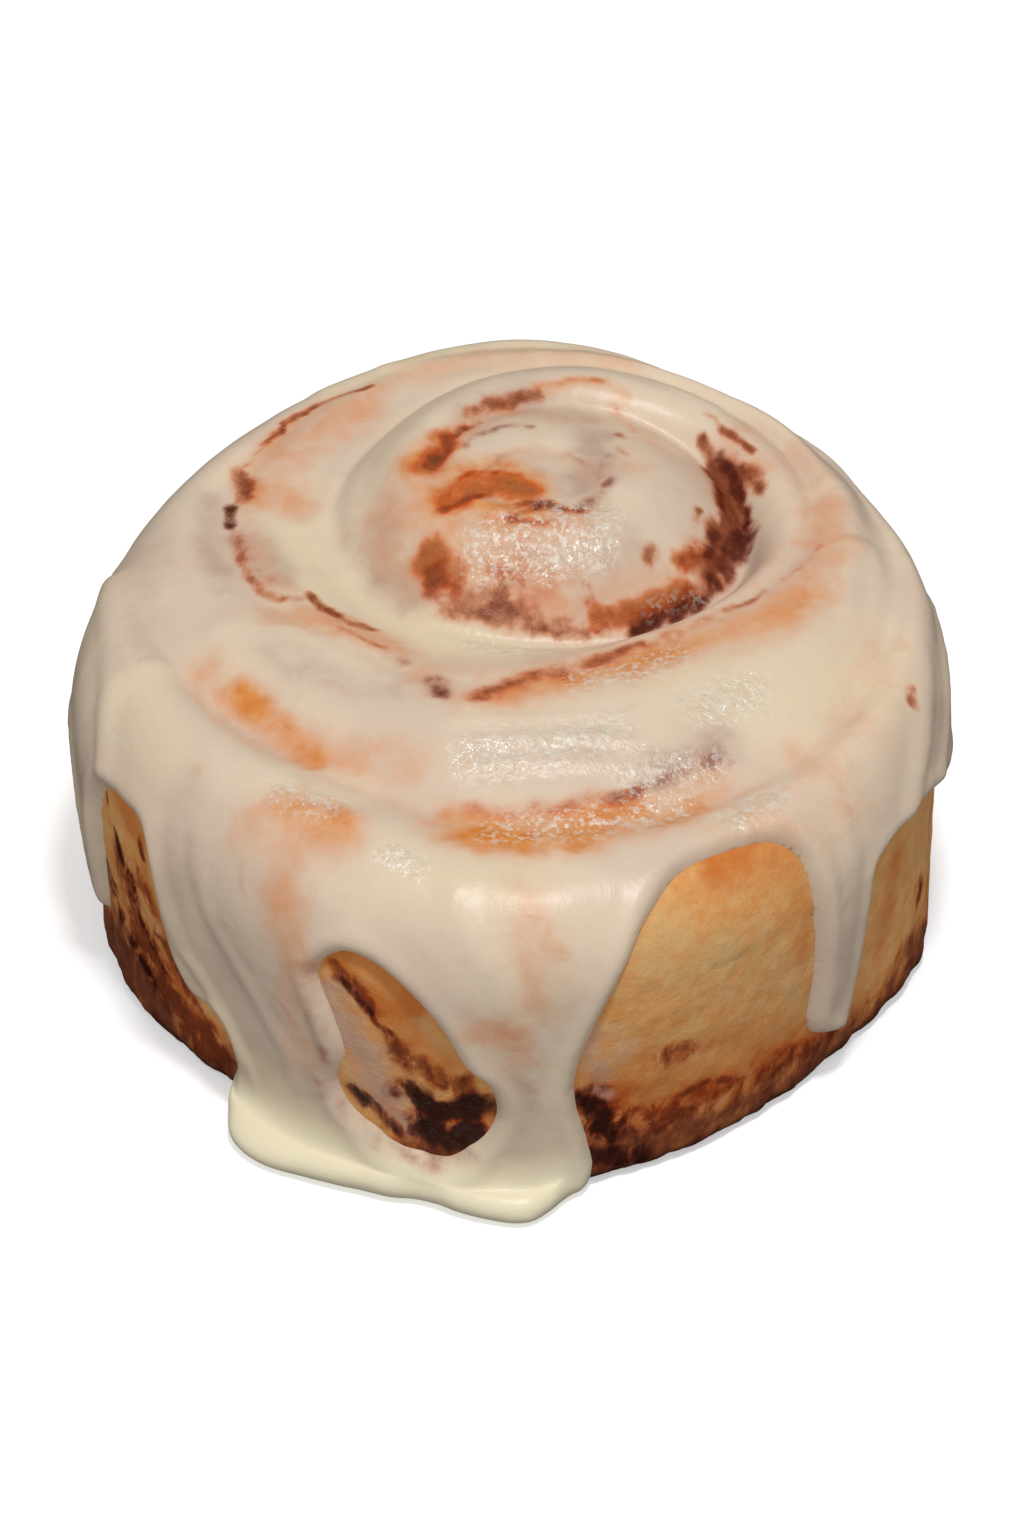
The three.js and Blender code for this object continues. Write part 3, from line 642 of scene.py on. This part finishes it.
def folds(points):
    """How far the icing's folds and ripples stand out of it."""
    degrees, radius = polar(points)
    plan = points[:, :2]
    height = np.zeros(len(points))
    on_crown = smooth(*FOLD_HEIGHTS, points[:, 2])
    for half_width, rise, corners in CROWN_FOLDS:
        height += rise * on_crown * line_nearness(plan, half_width, corners)
    beside = smooth(*FOLD_RADII, radius)
    places = unrolled(np.where(degrees < SIDE_FOLDS_START, degrees + TURN, degrees), points[:, 2])
    for half_width, rise, corners in SIDE_FOLDS:
        height += rise * beside * line_nearness(places, half_width, unrolled(*np.transpose(corners)))
    away = np.linalg.norm((plan - RIPPLE_MIDDLE) / RIPPLE_REACH, axis=1)
    crest = plan[:, 1] + RIPPLE_WANDER * noise(points, 9.0, RIPPLE_SEED)
    wave = np.sin(2 * np.pi * crest / RIPPLE_PITCH)
    return height + RIPPLE_HEIGHT * wave * (1 - smooth(0.4, 1.0, away)) * on_crown


def smooth_line(corners, steps):
    """A smooth line through given corners. The first and last corner only steer its ends."""
    t = (np.arange(steps) / steps)[None, :, None]
    a, b, c, d = (corners[k:len(corners) - 3 + k, None] for k in range(4))
    curve = 0.5 * (
        2 * b + (c - a) * t + (2 * a - 5 * b + 4 * c - d) * t**2 + (3 * b - a - 3 * c + d) * t**3
    )
    return np.concatenate([curve.reshape(-1, 2), corners[-2:-1]])


def unrolled(degrees, height):
    return np.stack([np.radians(degrees) * BELLY_RADIUS, height], -1)


def line_distance(places, line):
    """Each place's distance to a line of points."""
    nearest = np.full(len(places), np.inf)
    for a, b in zip(line[:-1], line[1:]):
        along = b - a
        t = np.clip((places - a) @ along / max(along @ along, 1e-12), 0, 1)
        gap = places - a - t[:, None] * along
        nearest = np.minimum(nearest, np.einsum("ij,ij->i", gap, gap))
    return np.sqrt(nearest)


def crosses_below(places, line):
    """Whether a ray straight down from each place crosses the line an odd number of times."""
    odd = np.zeros(len(places), bool)
    for a, b in zip(line[:-1], line[1:]):
        spans = (a[0] <= places[:, 0]) != (b[0] <= places[:, 0])
        run = b[0] - a[0] if b[0] != a[0] else 1e-9
        height = a[1] + (places[:, 0] - a[0]) / run * (b[1] - a[1])
        odd ^= spans & (height < places[:, 1])
    return odd


def edge_line():
    start = np.array(ICING_EDGE[:1], float)
    end = start + [TURN, 0]
    return unrolled(*smooth_line(np.concatenate([start, ICING_EDGE, end, end]), 5).T)


def window_line():
    corners = np.array(ICING_WINDOW, float)
    closed = np.concatenate([corners[-1:], corners, corners[:2]])
    return unrolled(*smooth_line(closed, 6).T)


def inset_from_edge(degrees, plain):
    """How far inside the icing's edge a place is; less than nothing on bare dough."""
    inset = np.full(plain.shape, np.inf)
    low = plain < EDGE_REACH
    places = unrolled(degrees[low], plain[low])
    edge, window = edge_line(), window_line()
    covered = crosses_below(places, edge) & ~crosses_below(places, window)
    nearest = np.minimum(line_distance(places, edge), line_distance(places, window))
    inset[low] = np.where(covered, nearest, -nearest)
    return inset


def coat_points(grid):
    """The icing's outer skin over the dough, with the puddle at its foot."""
    degrees = np.broadcast_to(grid["degrees"], grid["plain"].shape)
    inset = inset_from_edge(degrees, grid["plain"])
    share = np.minimum(inset / EDGE_BEAD, 1)
    bead = np.where(share > 0, share * (2 - share), 2 * share)
    depth = np.maximum(grid["depth"] * bead, -BARE_DEPTH)
    flat = grid["points"].reshape(-1, 3)
    relief = folds(flat)
    for lumps in ICING_LUMPS:
        relief += uneven(flat, *lumps)
    relief = relief.reshape(inset.shape)
    lip = LIP_HEIGHT * np.exp(-(((inset - LIP_INSET) / LIP_WIDTH) ** 2)) * (grid["plain"] < LIP_TOP)
    depth = depth + (relief + lip) * smooth(0.2, 2.0, inset)
    points = grid["points"] + grid["out"] * depth[..., None]
    return spread_puddle(points, grid)


def spread_puddle(points, grid):
    """The lowest rings turn out along the table where the puddle lies."""
    reach = np.maximum(track(PUDDLE_REACH, grid["degrees"], 1), 0)[None, :]
    height = grid["points"][..., 2]
    low = (height < PUDDLE_TOP) & (np.arange(len(height)) >= grid["crown_rings"])[:, None]
    s = np.clip(1 - height / PUDDLE_TOP, 0, 1)
    fall = np.clip(s / PUDDLE_FILLET, 0, 1)
    turned = np.clip((s - PUDDLE_FILLET) / (1 - PUDDLE_FILLET), 0, 1) * np.pi / 2
    run = 0.3 * fall**2 + 0.7 * np.sin(turned)
    lip = PUDDLE_DEPTH * np.maximum(np.cos(turned), 0) ** 0.8
    poured = lip + (PUDDLE_TOP - PUDDLE_DEPTH) * (1 - fall) ** 1.5
    spread = smooth(0, 3, reach)
    lowered = height * (1 - spread) + poured * spread
    moved = points.copy()
    moved[..., :2] += grid["out"][..., :2] * (reach * run)[..., None]
    moved[..., 2] = lowered
    return np.where(low[..., None], moved, points)


# ---------------- meshes


def linked(name, data):
    """A new object in the scene."""
    made = bpy.data.objects.new(name, data)
    bpy.context.scene.collection.objects.link(made)
    return made


def closed_mesh(name, rings, peak, base):
    """A closed skin over rings of points in millimetres, with a fan to a pole at each end."""
    count, columns = rings.shape[:2]
    points = np.concatenate([[peak], rings.reshape(-1, 3), [base]]) * MM
    ring, column = np.meshgrid(np.arange(count - 1), np.arange(columns), indexing="ij")
    here = 1 + ring * columns + column
    beside = 1 + ring * columns + (column + 1) % columns
    quads = np.stack([here, here + columns, beside + columns, beside], -1).reshape(-1, 4)
    first = 1 + np.arange(columns)
    following = 1 + (np.arange(columns) + 1) % columns
    low = (count - 1) * columns
    end = len(points) - 1
    top_fan = np.stack([0 * first, first, following], -1)
    low_fan = np.stack([0 * first + end, following + low, first + low], -1)
    mesh = bpy.data.meshes.new(name)
    mesh.from_pydata(points, [], quads.tolist() + top_fan.tolist() + low_fan.tolist())
    mesh.shade_smooth()
    return linked(name, mesh)


def offset_mesh(name, grid, offset, bottom):
    """The dough's skin moved out by a distance, with its underside at a height."""
    points = grid["points"] + grid["out"] * offset
    points[-1, :, 2] = bottom
    points[..., 2] = np.maximum(points[..., 2], bottom)
    height, _ = crown(*SWIRL[:, None])
    return closed_mesh(name, points, [*SWIRL, height[0] + offset], [0, 0, bottom])


def subtract(piece, cutter):
    """Cuts one closed mesh by another, and deletes the cutter."""
    cut = piece.modifiers.new("cut", "BOOLEAN")
    cut.operation = "DIFFERENCE"
    cut.solver = "MANIFOLD"
    cut.object = cutter
    graph = bpy.context.evaluated_depsgraph_get()
    mesh = bpy.data.meshes.new_from_object(piece.evaluated_get(graph))
    piece.modifiers.clear()
    piece.data = mesh
    mesh.name = piece.name
    mesh.materials.clear()
    bpy.data.objects.remove(cutter)


def dough_relief(grid):
    """How far the baked side stands out of its plain shape: swells, wrinkles, a ragged foot."""
    points = grid["points"].reshape(-1, 3)
    swell = sum(uneven(points, *swells) for swells in DOUGH_SWELLS)
    upright = points * [1.0, 1.0, 0.35]
    wrinkle = uneven(upright, *DOUGH_WRINKLES)
    ragged = uneven(points, *RAGGED_FOOT) * (1 - smooth(1.0, 6.0, points[:, 2]))
    relief = (swell + wrinkle + ragged).reshape(grid["plain"].shape)
    side = (np.arange(len(grid["plain"])) >= grid["crown_rings"])[:, None]
    above_table = grid["points"][..., 2] > 0.01
    return relief * side * above_table


def make_dough():
    grid = dough_grid(columns=640, crown_rings=50, shoulder_rings=16, side_rings=100)
    grid["points"] = grid["points"] + grid["out"] * dough_relief(grid)[..., None]
    piece = offset_mesh("baked_roll_finish", grid, 0.0, 0.0)
    stain(piece, [], DOUGH_STAINS, ("amber", "pale", "rust", "plum", "veil"))
    points = mesh_points(piece)
    degrees, _ = polar(points)
    edge = around(BURNT, degrees) + uneven(points, *RAGGED_BURN)
    burnt = 1 - smooth(-0.9, 0.9, (points[:, 2] - edge) / np.maximum(edge, 2))
    write_attribute(piece, "burnt", burnt)
    return piece


def mesh_points(piece):
    """A mesh's vertices in millimetres."""
    flat = np.empty(len(piece.data.vertices) * 3, np.float32)
    piece.data.vertices.foreach_get("co", flat)
    return flat.reshape(-1, 3).astype(float) / MM


def write_attribute(piece, name, values):
    piece.data.attributes.new(name, "FLOAT", "POINT").data.foreach_set("value", values)


def seam_marks():
    """The blush along the seams, as marks on the crown."""
    marks = []
    for first, last, inwards, half_width, strength, name in SEAM_BLUSH:
        at = np.linspace(first, last, max(2, round((last - first) / 12)))
        radius = track(SEAM, at, 1) - inwards
        way = np.stack([np.cos(np.radians(at)), np.sin(np.radians(at))], -1)
        marks.append((name, half_width, strength, SWIRL + radius[:, None] * way))
    return marks


def stain(piece, crown_marks, side_marks, names):
    """Writes one attribute for each kind of stain, from the lines drawn for it."""
    points = mesh_points(piece)
    degrees, radius = polar(points)
    on_crown = smooth(*STAIN_HEIGHTS, points[:, 2])
    beside = smooth(*STAIN_RADII, radius)
    shift = wander(points, STAIN_SEED, STAIN_WANDER)
    values = {name: np.zeros(len(points)) for name in names}
    for name, half_width, strength, corners in crown_marks:
        mark = on_crown * line_nearness(points[:, :2] + shift, half_width, corners)
        values[name] = np.maximum(values[name], strength * mark)
    places = unrolled(degrees, points[:, 2]) + shift
    for name, half_width, strength, corners in side_marks:
        mark = beside * line_nearness(places, half_width, unrolled(*np.transpose(corners)))
        values[name] = np.maximum(values[name], strength * mark)
    for name in names:
        write_attribute(piece, name, values[name])


def make_icing():
    grid = dough_grid(columns=560, crown_rings=90, shoulder_rings=26, side_rings=76)
    points = coat_points(grid)
    height, icing = crown(*SWIRL[:, None])
    coat = closed_mesh("icing_finish", points, [*SWIRL, height[0] + icing[0]], [0, 0, 0])
    room = dough_grid(columns=280, crown_rings=50, shoulder_rings=12, side_rings=30)
    subtract(coat, offset_mesh("dough_room", room, -ROOM_INSET, -ROOM_DROP))
    kinds = ("orange", "amber", "rust", "plum", "peach", "grey", "cream", "sparkle")
    thick = [("cream", *place) for place in THICK_PLACES]
    grainy = [("sparkle", *place) for place in SPARKLE_PLACES]
    stain(coat, CROWN_STAINS + seam_marks() + thick + grainy, SIDE_STAINS, kinds)
    points = mesh_points(coat)
    _, radius = polar(points)
    puddle = (1 - smooth(3.5, 11.0, points[:, 2])) * smooth(48, 51, radius)
    write_attribute(coat, "puddle", puddle)
    return coat


# ---------------- materials


def paint(red, green, blue):
    """A shader colour from display values of 0 to 255."""
    values = [v / 255 for v in (red, green, blue)]
    linear = [v / 12.92 if v <= 0.04045 else ((v + 0.055) / 1.055) ** 2.4 for v in values]
    return (*linear, 1.0)


class Graph:
    """A material's nodes. An input is given as a value, or as the output that feeds it."""

    def __init__(self, name):
        self.material = bpy.data.materials.new(name)
        self.material.use_nodes = True
        self.tree = self.material.node_tree
        self.shader = self.tree.nodes["Principled BSDF"]
        self.place = self.add("ShaderNodeTexCoord").outputs["Object"]
        self.uneven = self.between(self.noise(6, 2), 0.35, 0.65, 0.8, 1.15)

    def add(self, kind, inputs=None, **settings):
        made = self.tree.nodes.new(kind)
        for key, value in settings.items():
            setattr(made, key, value)
        self.feed(made, inputs or {})
        return made

    def feed(self, made, inputs):
        for key, value in inputs.items():
            if isinstance(value, bpy.types.NodeSocket):
                self.tree.links.new(value, made.inputs[key])
            else:
                made.inputs[key].default_value = value

    def attribute(self, name):
        return self.add("ShaderNodeAttribute", attribute_name=name).outputs["Fac"]

    def noise(self, size, detail=3.0, roughness=0.5, stretch=(1, 1, 1), distortion=0.0):
        """Noise from 0 to 1 with features about size millimetres across."""
        scaled = self.add("ShaderNodeMapping", {"Vector": self.place, "Scale": stretch})
        return self.add("ShaderNodeTexNoise", {
            "Vector": scaled.outputs[0], "Scale": 1000 / size, "Detail": detail,
            "Roughness": roughness, "Distortion": distortion,
        }).outputs["Fac"]

    def math(self, operation, a, b=0.0):
        return self.add("ShaderNodeMath", {0: a, 1: b}, operation=operation).outputs[0]

    def between(self, value, low, high, to_low=0.0, to_high=1.0):
        """A smooth step from to_low to to_high as the value goes from low to high."""
        return self.add("ShaderNodeMapRange", {
            "Value": value, "From Min": low, "From Max": high, "To Min": to_low, "To Max": to_high,
        }, interpolation_type="SMOOTHSTEP").outputs["Result"]

    def mix(self, share, a, b):
        made = self.add("ShaderNodeMix", data_type="RGBA")
        self.feed(made, {0: share, 6: a, 7: b})
        return made.outputs[2]

    def broken(self, name, grain, amount, low, high):
        """Where a stain shows, once noise has broken its edges."""
        stained = self.attribute(name)
        speckled = self.math("MULTIPLY", self.math("SUBTRACT", grain, 0.5), amount)
        speckled = self.math("MULTIPLY", speckled, self.between(stained, 0.0, 0.7))
        total = self.math("ADD", self.math("MULTIPLY", stained, self.uneven), speckled)
        return self.between(total, low, high)

    def tint(self, amount, color, thin, thick):
        """A stain that filters what is under it where it is thin, and hides it where it is thick."""
        filtered = self.add("ShaderNodeMix", data_type="RGBA", blend_type="MULTIPLY")
        self.feed(filtered, {0: self.between(amount, 0.0, 0.6, 0, 0.9), 6: color, 7: thin})
        return self.mix(self.between(amount, 0.3, 1.0), filtered.outputs[2], thick)

    def bump(self, height, strength, distance, normal=None):
        inputs = {"Height": height, "Strength": strength, "Distance": distance * MM}
        if normal is not None:
            inputs["Normal"] = normal
        return self.add("ShaderNodeBump", inputs).outputs[0]


def icing_material():
    g = Graph("icing_glaze")
    broad, middle = g.noise(16, 2), g.noise(5, 4, 0.6, distortion=0.8)
    patches, fine = g.noise(3.4, 3, 0.55), g.noise(1.3, 4, 0.6)
    torn = g.math("ADD", g.math("MULTIPLY", patches, 0.7), g.math("MULTIPLY", fine, 0.3))
    grain = g.noise(0.4, 2, 0.5)
    color = g.mix(g.between(broad, 0.38, 0.62), paint(224, 202, 180), paint(232, 212, 186))
    color = g.mix(g.between(middle, 0.5, 0.75, 0, 0.35), color, paint(220, 191, 166))
    color = g.mix(g.math("MULTIPLY", g.attribute("cream"), 0.65), color, paint(236, 219, 184))
    color = g.mix(g.attribute("puddle"), color, paint(248, 236, 204))
    color = g.mix(g.broken("grey", middle, 1.2, 0.0, 1.5), color, paint(194, 166, 148))
    color = g.mix(g.broken("peach", middle, 1.4, 0.0, 1.6), color, paint(226, 166, 126))
    orange = g.broken("orange", torn, 1.0, 0.0, 1.3)
    color = g.mix(orange, color, g.mix(patches, paint(240, 166, 84), paint(206, 106, 34)))
    amber = g.broken("amber", torn, 1.4, 0.0, 1.2)
    thick = g.mix(fine, paint(206, 124, 70), paint(146, 76, 42))
    color = g.tint(amber, color, paint(248, 176, 122), thick)
    rust = g.broken("rust", torn, 1.6, 0.0, 1.2)
    thick = g.mix(fine, paint(170, 92, 56), paint(104, 50, 34))
    color = g.tint(rust, color, paint(238, 182, 154), thick)
    plum = g.broken("plum", torn, 1.6, 0.0, 1.2)
    color = g.tint(plum, color, paint(206, 164, 156), g.mix(fine, paint(116, 56, 42), paint(50, 18, 14)))
    stained = g.math("MAXIMUM", g.math("MAXIMUM", orange, rust), g.math("MAXIMUM", amber, plum))
    rough = g.math("MAXIMUM", g.math("MULTIPLY", stained, 0.35), g.attribute("sparkle"))
    height = g.bump(middle, 0.25, 0.5)
    height = g.bump(fine, g.between(rough, 0, 1, 0.08, 1.0), 0.6, height)
    height = g.bump(grain, g.between(rough, 0.1, 0.8, 0.0, 0.9), 0.06, height)
    crystals = g.noise(0.85, 3, 0.6)
    grainy = g.between(g.attribute("sparkle"), 0.1, 0.9)
    coat_and_painted_glint = g.math("MULTIPLY", grainy, g.between(crystals, 0.5, 0.58))
    # Painted highlight: in the glint spots the base colour is mixed halfway to near white. This stands
    # partly for whiter dried sugar and partly for painted glints.
    color = g.mix(g.math("MULTIPLY", coat_and_painted_glint, 0.5), color, paint(254, 248, 234))
    shine = g.between(rough, 0.3, 1, 0.3, 0.7)
    g.feed(g.shader, {
        "Coat Weight": coat_and_painted_glint,
        "Coat Roughness": 0.1,
        "Coat IOR": 1.9,
        "Coat Normal": g.bump(crystals, 1.0, 0.4),
        "Base Color": color,
        "Roughness": g.between(rough, 0, 1, 0.34, 0.1),
        "Specular IOR Level": g.math("SUBTRACT", shine, g.math("MULTIPLY", stained, 0.2)),
        "Normal": height,
        "Subsurface Weight": 0.2,
        "Subsurface Radius": (1.0, 0.62, 0.4),
        "Subsurface Scale": 1.0 * MM,
    })
    return g.material


def dough_material():
    g = Graph("baked_dough")
    broad, middle = g.noise(9, 3), g.noise(3.2, 4, 0.6)
    fine, grain = g.noise(1.1, 4, 0.65), g.noise(0.35, 3, 0.6)
    streaks = g.noise(2.6, 4, 0.6, stretch=(1.2, 1.2, 0.7), distortion=0.5)
    color = g.mix(g.between(middle, 0.38, 0.64), paint(228, 160, 94), paint(232, 178, 116))
    color = g.mix(g.between(broad, 0.5, 0.7, 0, 0.6), color, paint(230, 150, 80))
    color = g.mix(g.between(fine, 0.52, 0.75, 0, 0.4), color, paint(236, 200, 144))
    color = g.mix(g.broken("pale", middle, 1.4, 0.15, 1.4), color, paint(224, 180, 122))
    color = g.mix(g.broken("amber", middle, 1.5, 0.15, 1.3), color, paint(212, 122, 56))
    burnt = g.broken("burnt", streaks, 1.0, 0.0, 1.15)
    crust = g.mix(streaks, paint(158, 86, 54), paint(78, 36, 26))
    color = g.tint(burnt, color, paint(230, 184, 158), crust)
    rust = g.broken("rust", streaks, 1.8, 0.05, 1.3)
    color = g.tint(rust, color, paint(228, 176, 150), g.mix(fine, paint(158, 78, 40), paint(84, 36, 22)))
    foot = g.between(g.add("ShaderNodeSeparateXYZ", {0: g.place}).outputs[2], 0.0006, 0.0042, 1, 0)
    color = g.mix(g.math("MULTIPLY", foot, 0.85), color, paint(48, 20, 16))
    veil = g.broken("veil", middle, 1.3, 0.0, 1.2)
    color = g.mix(g.math("MULTIPLY", veil, 0.75), color, paint(206, 170, 154))
    plum = g.broken("plum", streaks, 1.8, 0.1, 1.2)
    color = g.tint(plum, color, paint(190, 140, 120), g.mix(fine, paint(82, 38, 28), paint(28, 10, 8)))
    wet = g.math("MAXIMUM", plum, g.math("MULTIPLY", veil, 0.7))
    height = g.bump(streaks, 0.5, 0.6)
    height = g.bump(fine, 0.4, 0.4, height)
    height = g.bump(grain, 0.35, 0.14, height)
    g.feed(g.shader, {
        "Base Color": color,
        "Roughness": g.between(wet, 0, 1, 0.65, 0.3),
        "Specular IOR Level": g.between(wet, 0, 1, 0.04, 0.3),
        "Normal": height,
        "Subsurface Weight": 0.1,
        "Subsurface Radius": (1.0, 0.5, 0.25),
        "Subsurface Scale": 1.2 * MM,
    })
    return g.material


def floor_material():
    material = bpy.data.materials.new("floor_white")
    material.use_nodes = True
    looks = {
        "Base Color": (0.9, 0.9, 0.9, 1), "Roughness": 0.9, "Specular IOR Level": 0.0,
        "Emission Color": (1, 1, 1, 1), "Emission Strength": FLOOR_GLOW,
    }
    for name, value in looks.items():
        material.node_tree.nodes["Principled BSDF"].inputs[name].default_value = value
    return material


# ---------------- the stage

CAMERA_DISTANCE = 0.7
CAMERA_ELEVATION = 40.0
CAMERA_LENS = 130.43
AIM_HEIGHT = 0.025

FLOOR_HALF = 12.0
FLOOR_GLOW = 0.4
SKY_LOW = 0.41
SKY_HIGH = 0.37
SKY_BAND = (-0.35, 0.75)        # how high a direction rises, from the low sky to the high one
SOFT_STRENGTH = 0.42
SOFT_SPREAD = 50.0
SOFT_FROM = (-0.18, -0.8, 1.0)
KEY_POWER = 2.2
KEY_SIZE = (0.08, 0.06)
KEY_PLACE = (0.04, -0.24, 0.70)
KEY_AIM = (0, 0, 0.03)


def make_camera():
    camera = linked("camera", bpy.data.cameras.new("camera"))
    tilt = math.radians(CAMERA_ELEVATION)
    away = Vector((0, -math.cos(tilt), math.sin(tilt)))
    camera.location = Vector((0, 0, AIM_HEIGHT)) + away * CAMERA_DISTANCE
    camera.rotation_euler = away.to_track_quat("Z", "Y").to_euler()
    camera.data.lens = CAMERA_LENS
    camera.data.sensor_width = 36
    bpy.context.scene.camera = camera


def make_lights():
    soft = bpy.data.lights.new("soft_top", "SUN")
    soft.energy = SOFT_STRENGTH
    soft.angle = math.radians(SOFT_SPREAD)
    linked("soft_top", soft).rotation_euler = Vector(SOFT_FROM).to_track_quat("Z", "Y").to_euler()

    key = bpy.data.lights.new("key", "AREA")
    key.shape = "RECTANGLE"
    key.size, key.size_y = KEY_SIZE
    key.energy = KEY_POWER
    lamp = linked("key", key)
    lamp.location = KEY_PLACE
    lamp.rotation_euler = (Vector(KEY_PLACE) - Vector(KEY_AIM)).to_track_quat("Z", "Y").to_euler()


def make_floor():
    mesh = bpy.data.meshes.new("floor")
    corners = [(-1, -1, 0), (1, -1, 0), (1, 1, 0), (-1, 1, 0)]
    mesh.from_pydata(np.array(corners) * FLOOR_HALF, [], [(0, 1, 2, 3)])
    mesh.materials.append(floor_material())
    floor = linked("floor", mesh)
    floor.visible_diffuse = False
    floor.visible_glossy = False


def make_sky():
    world = bpy.data.worlds.new("studio")
    bpy.context.scene.world = world
    world.use_nodes = True
    nodes, links = world.node_tree.nodes, world.node_tree.links
    direction = nodes.new("ShaderNodeSeparateXYZ")
    links.new(nodes.new("ShaderNodeTexCoord").outputs["Generated"], direction.inputs[0])
    rise = nodes.new("ShaderNodeMapRange")
    rise.interpolation_type = "SMOOTHSTEP"
    limits = {"From Min": SKY_BAND[0], "From Max": SKY_BAND[1], "To Min": SKY_LOW, "To Max": SKY_HIGH}
    for name, value in limits.items():
        rise.inputs[name].default_value = value
    links.new(direction.outputs[2], rise.inputs["Value"])
    links.new(rise.outputs["Result"], nodes["Background"].inputs["Strength"])
    nodes["Background"].inputs["Color"].default_value = (1, 1, 1, 1)
    world.cycles_visibility.glossy = False


bpy.context.scene.view_settings.view_transform = "Standard"
make_camera()
make_floor()
make_sky()
make_lights()

dough = make_dough()
dough.data.materials.append(dough_material())
icing = make_icing()
icing.data.materials.append(icing_material())

for piece, node, slot in ((dough, "baked_roll", "baked_dough"), (icing, "icing", "icing")):
    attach(piece, "root")
    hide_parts(node)
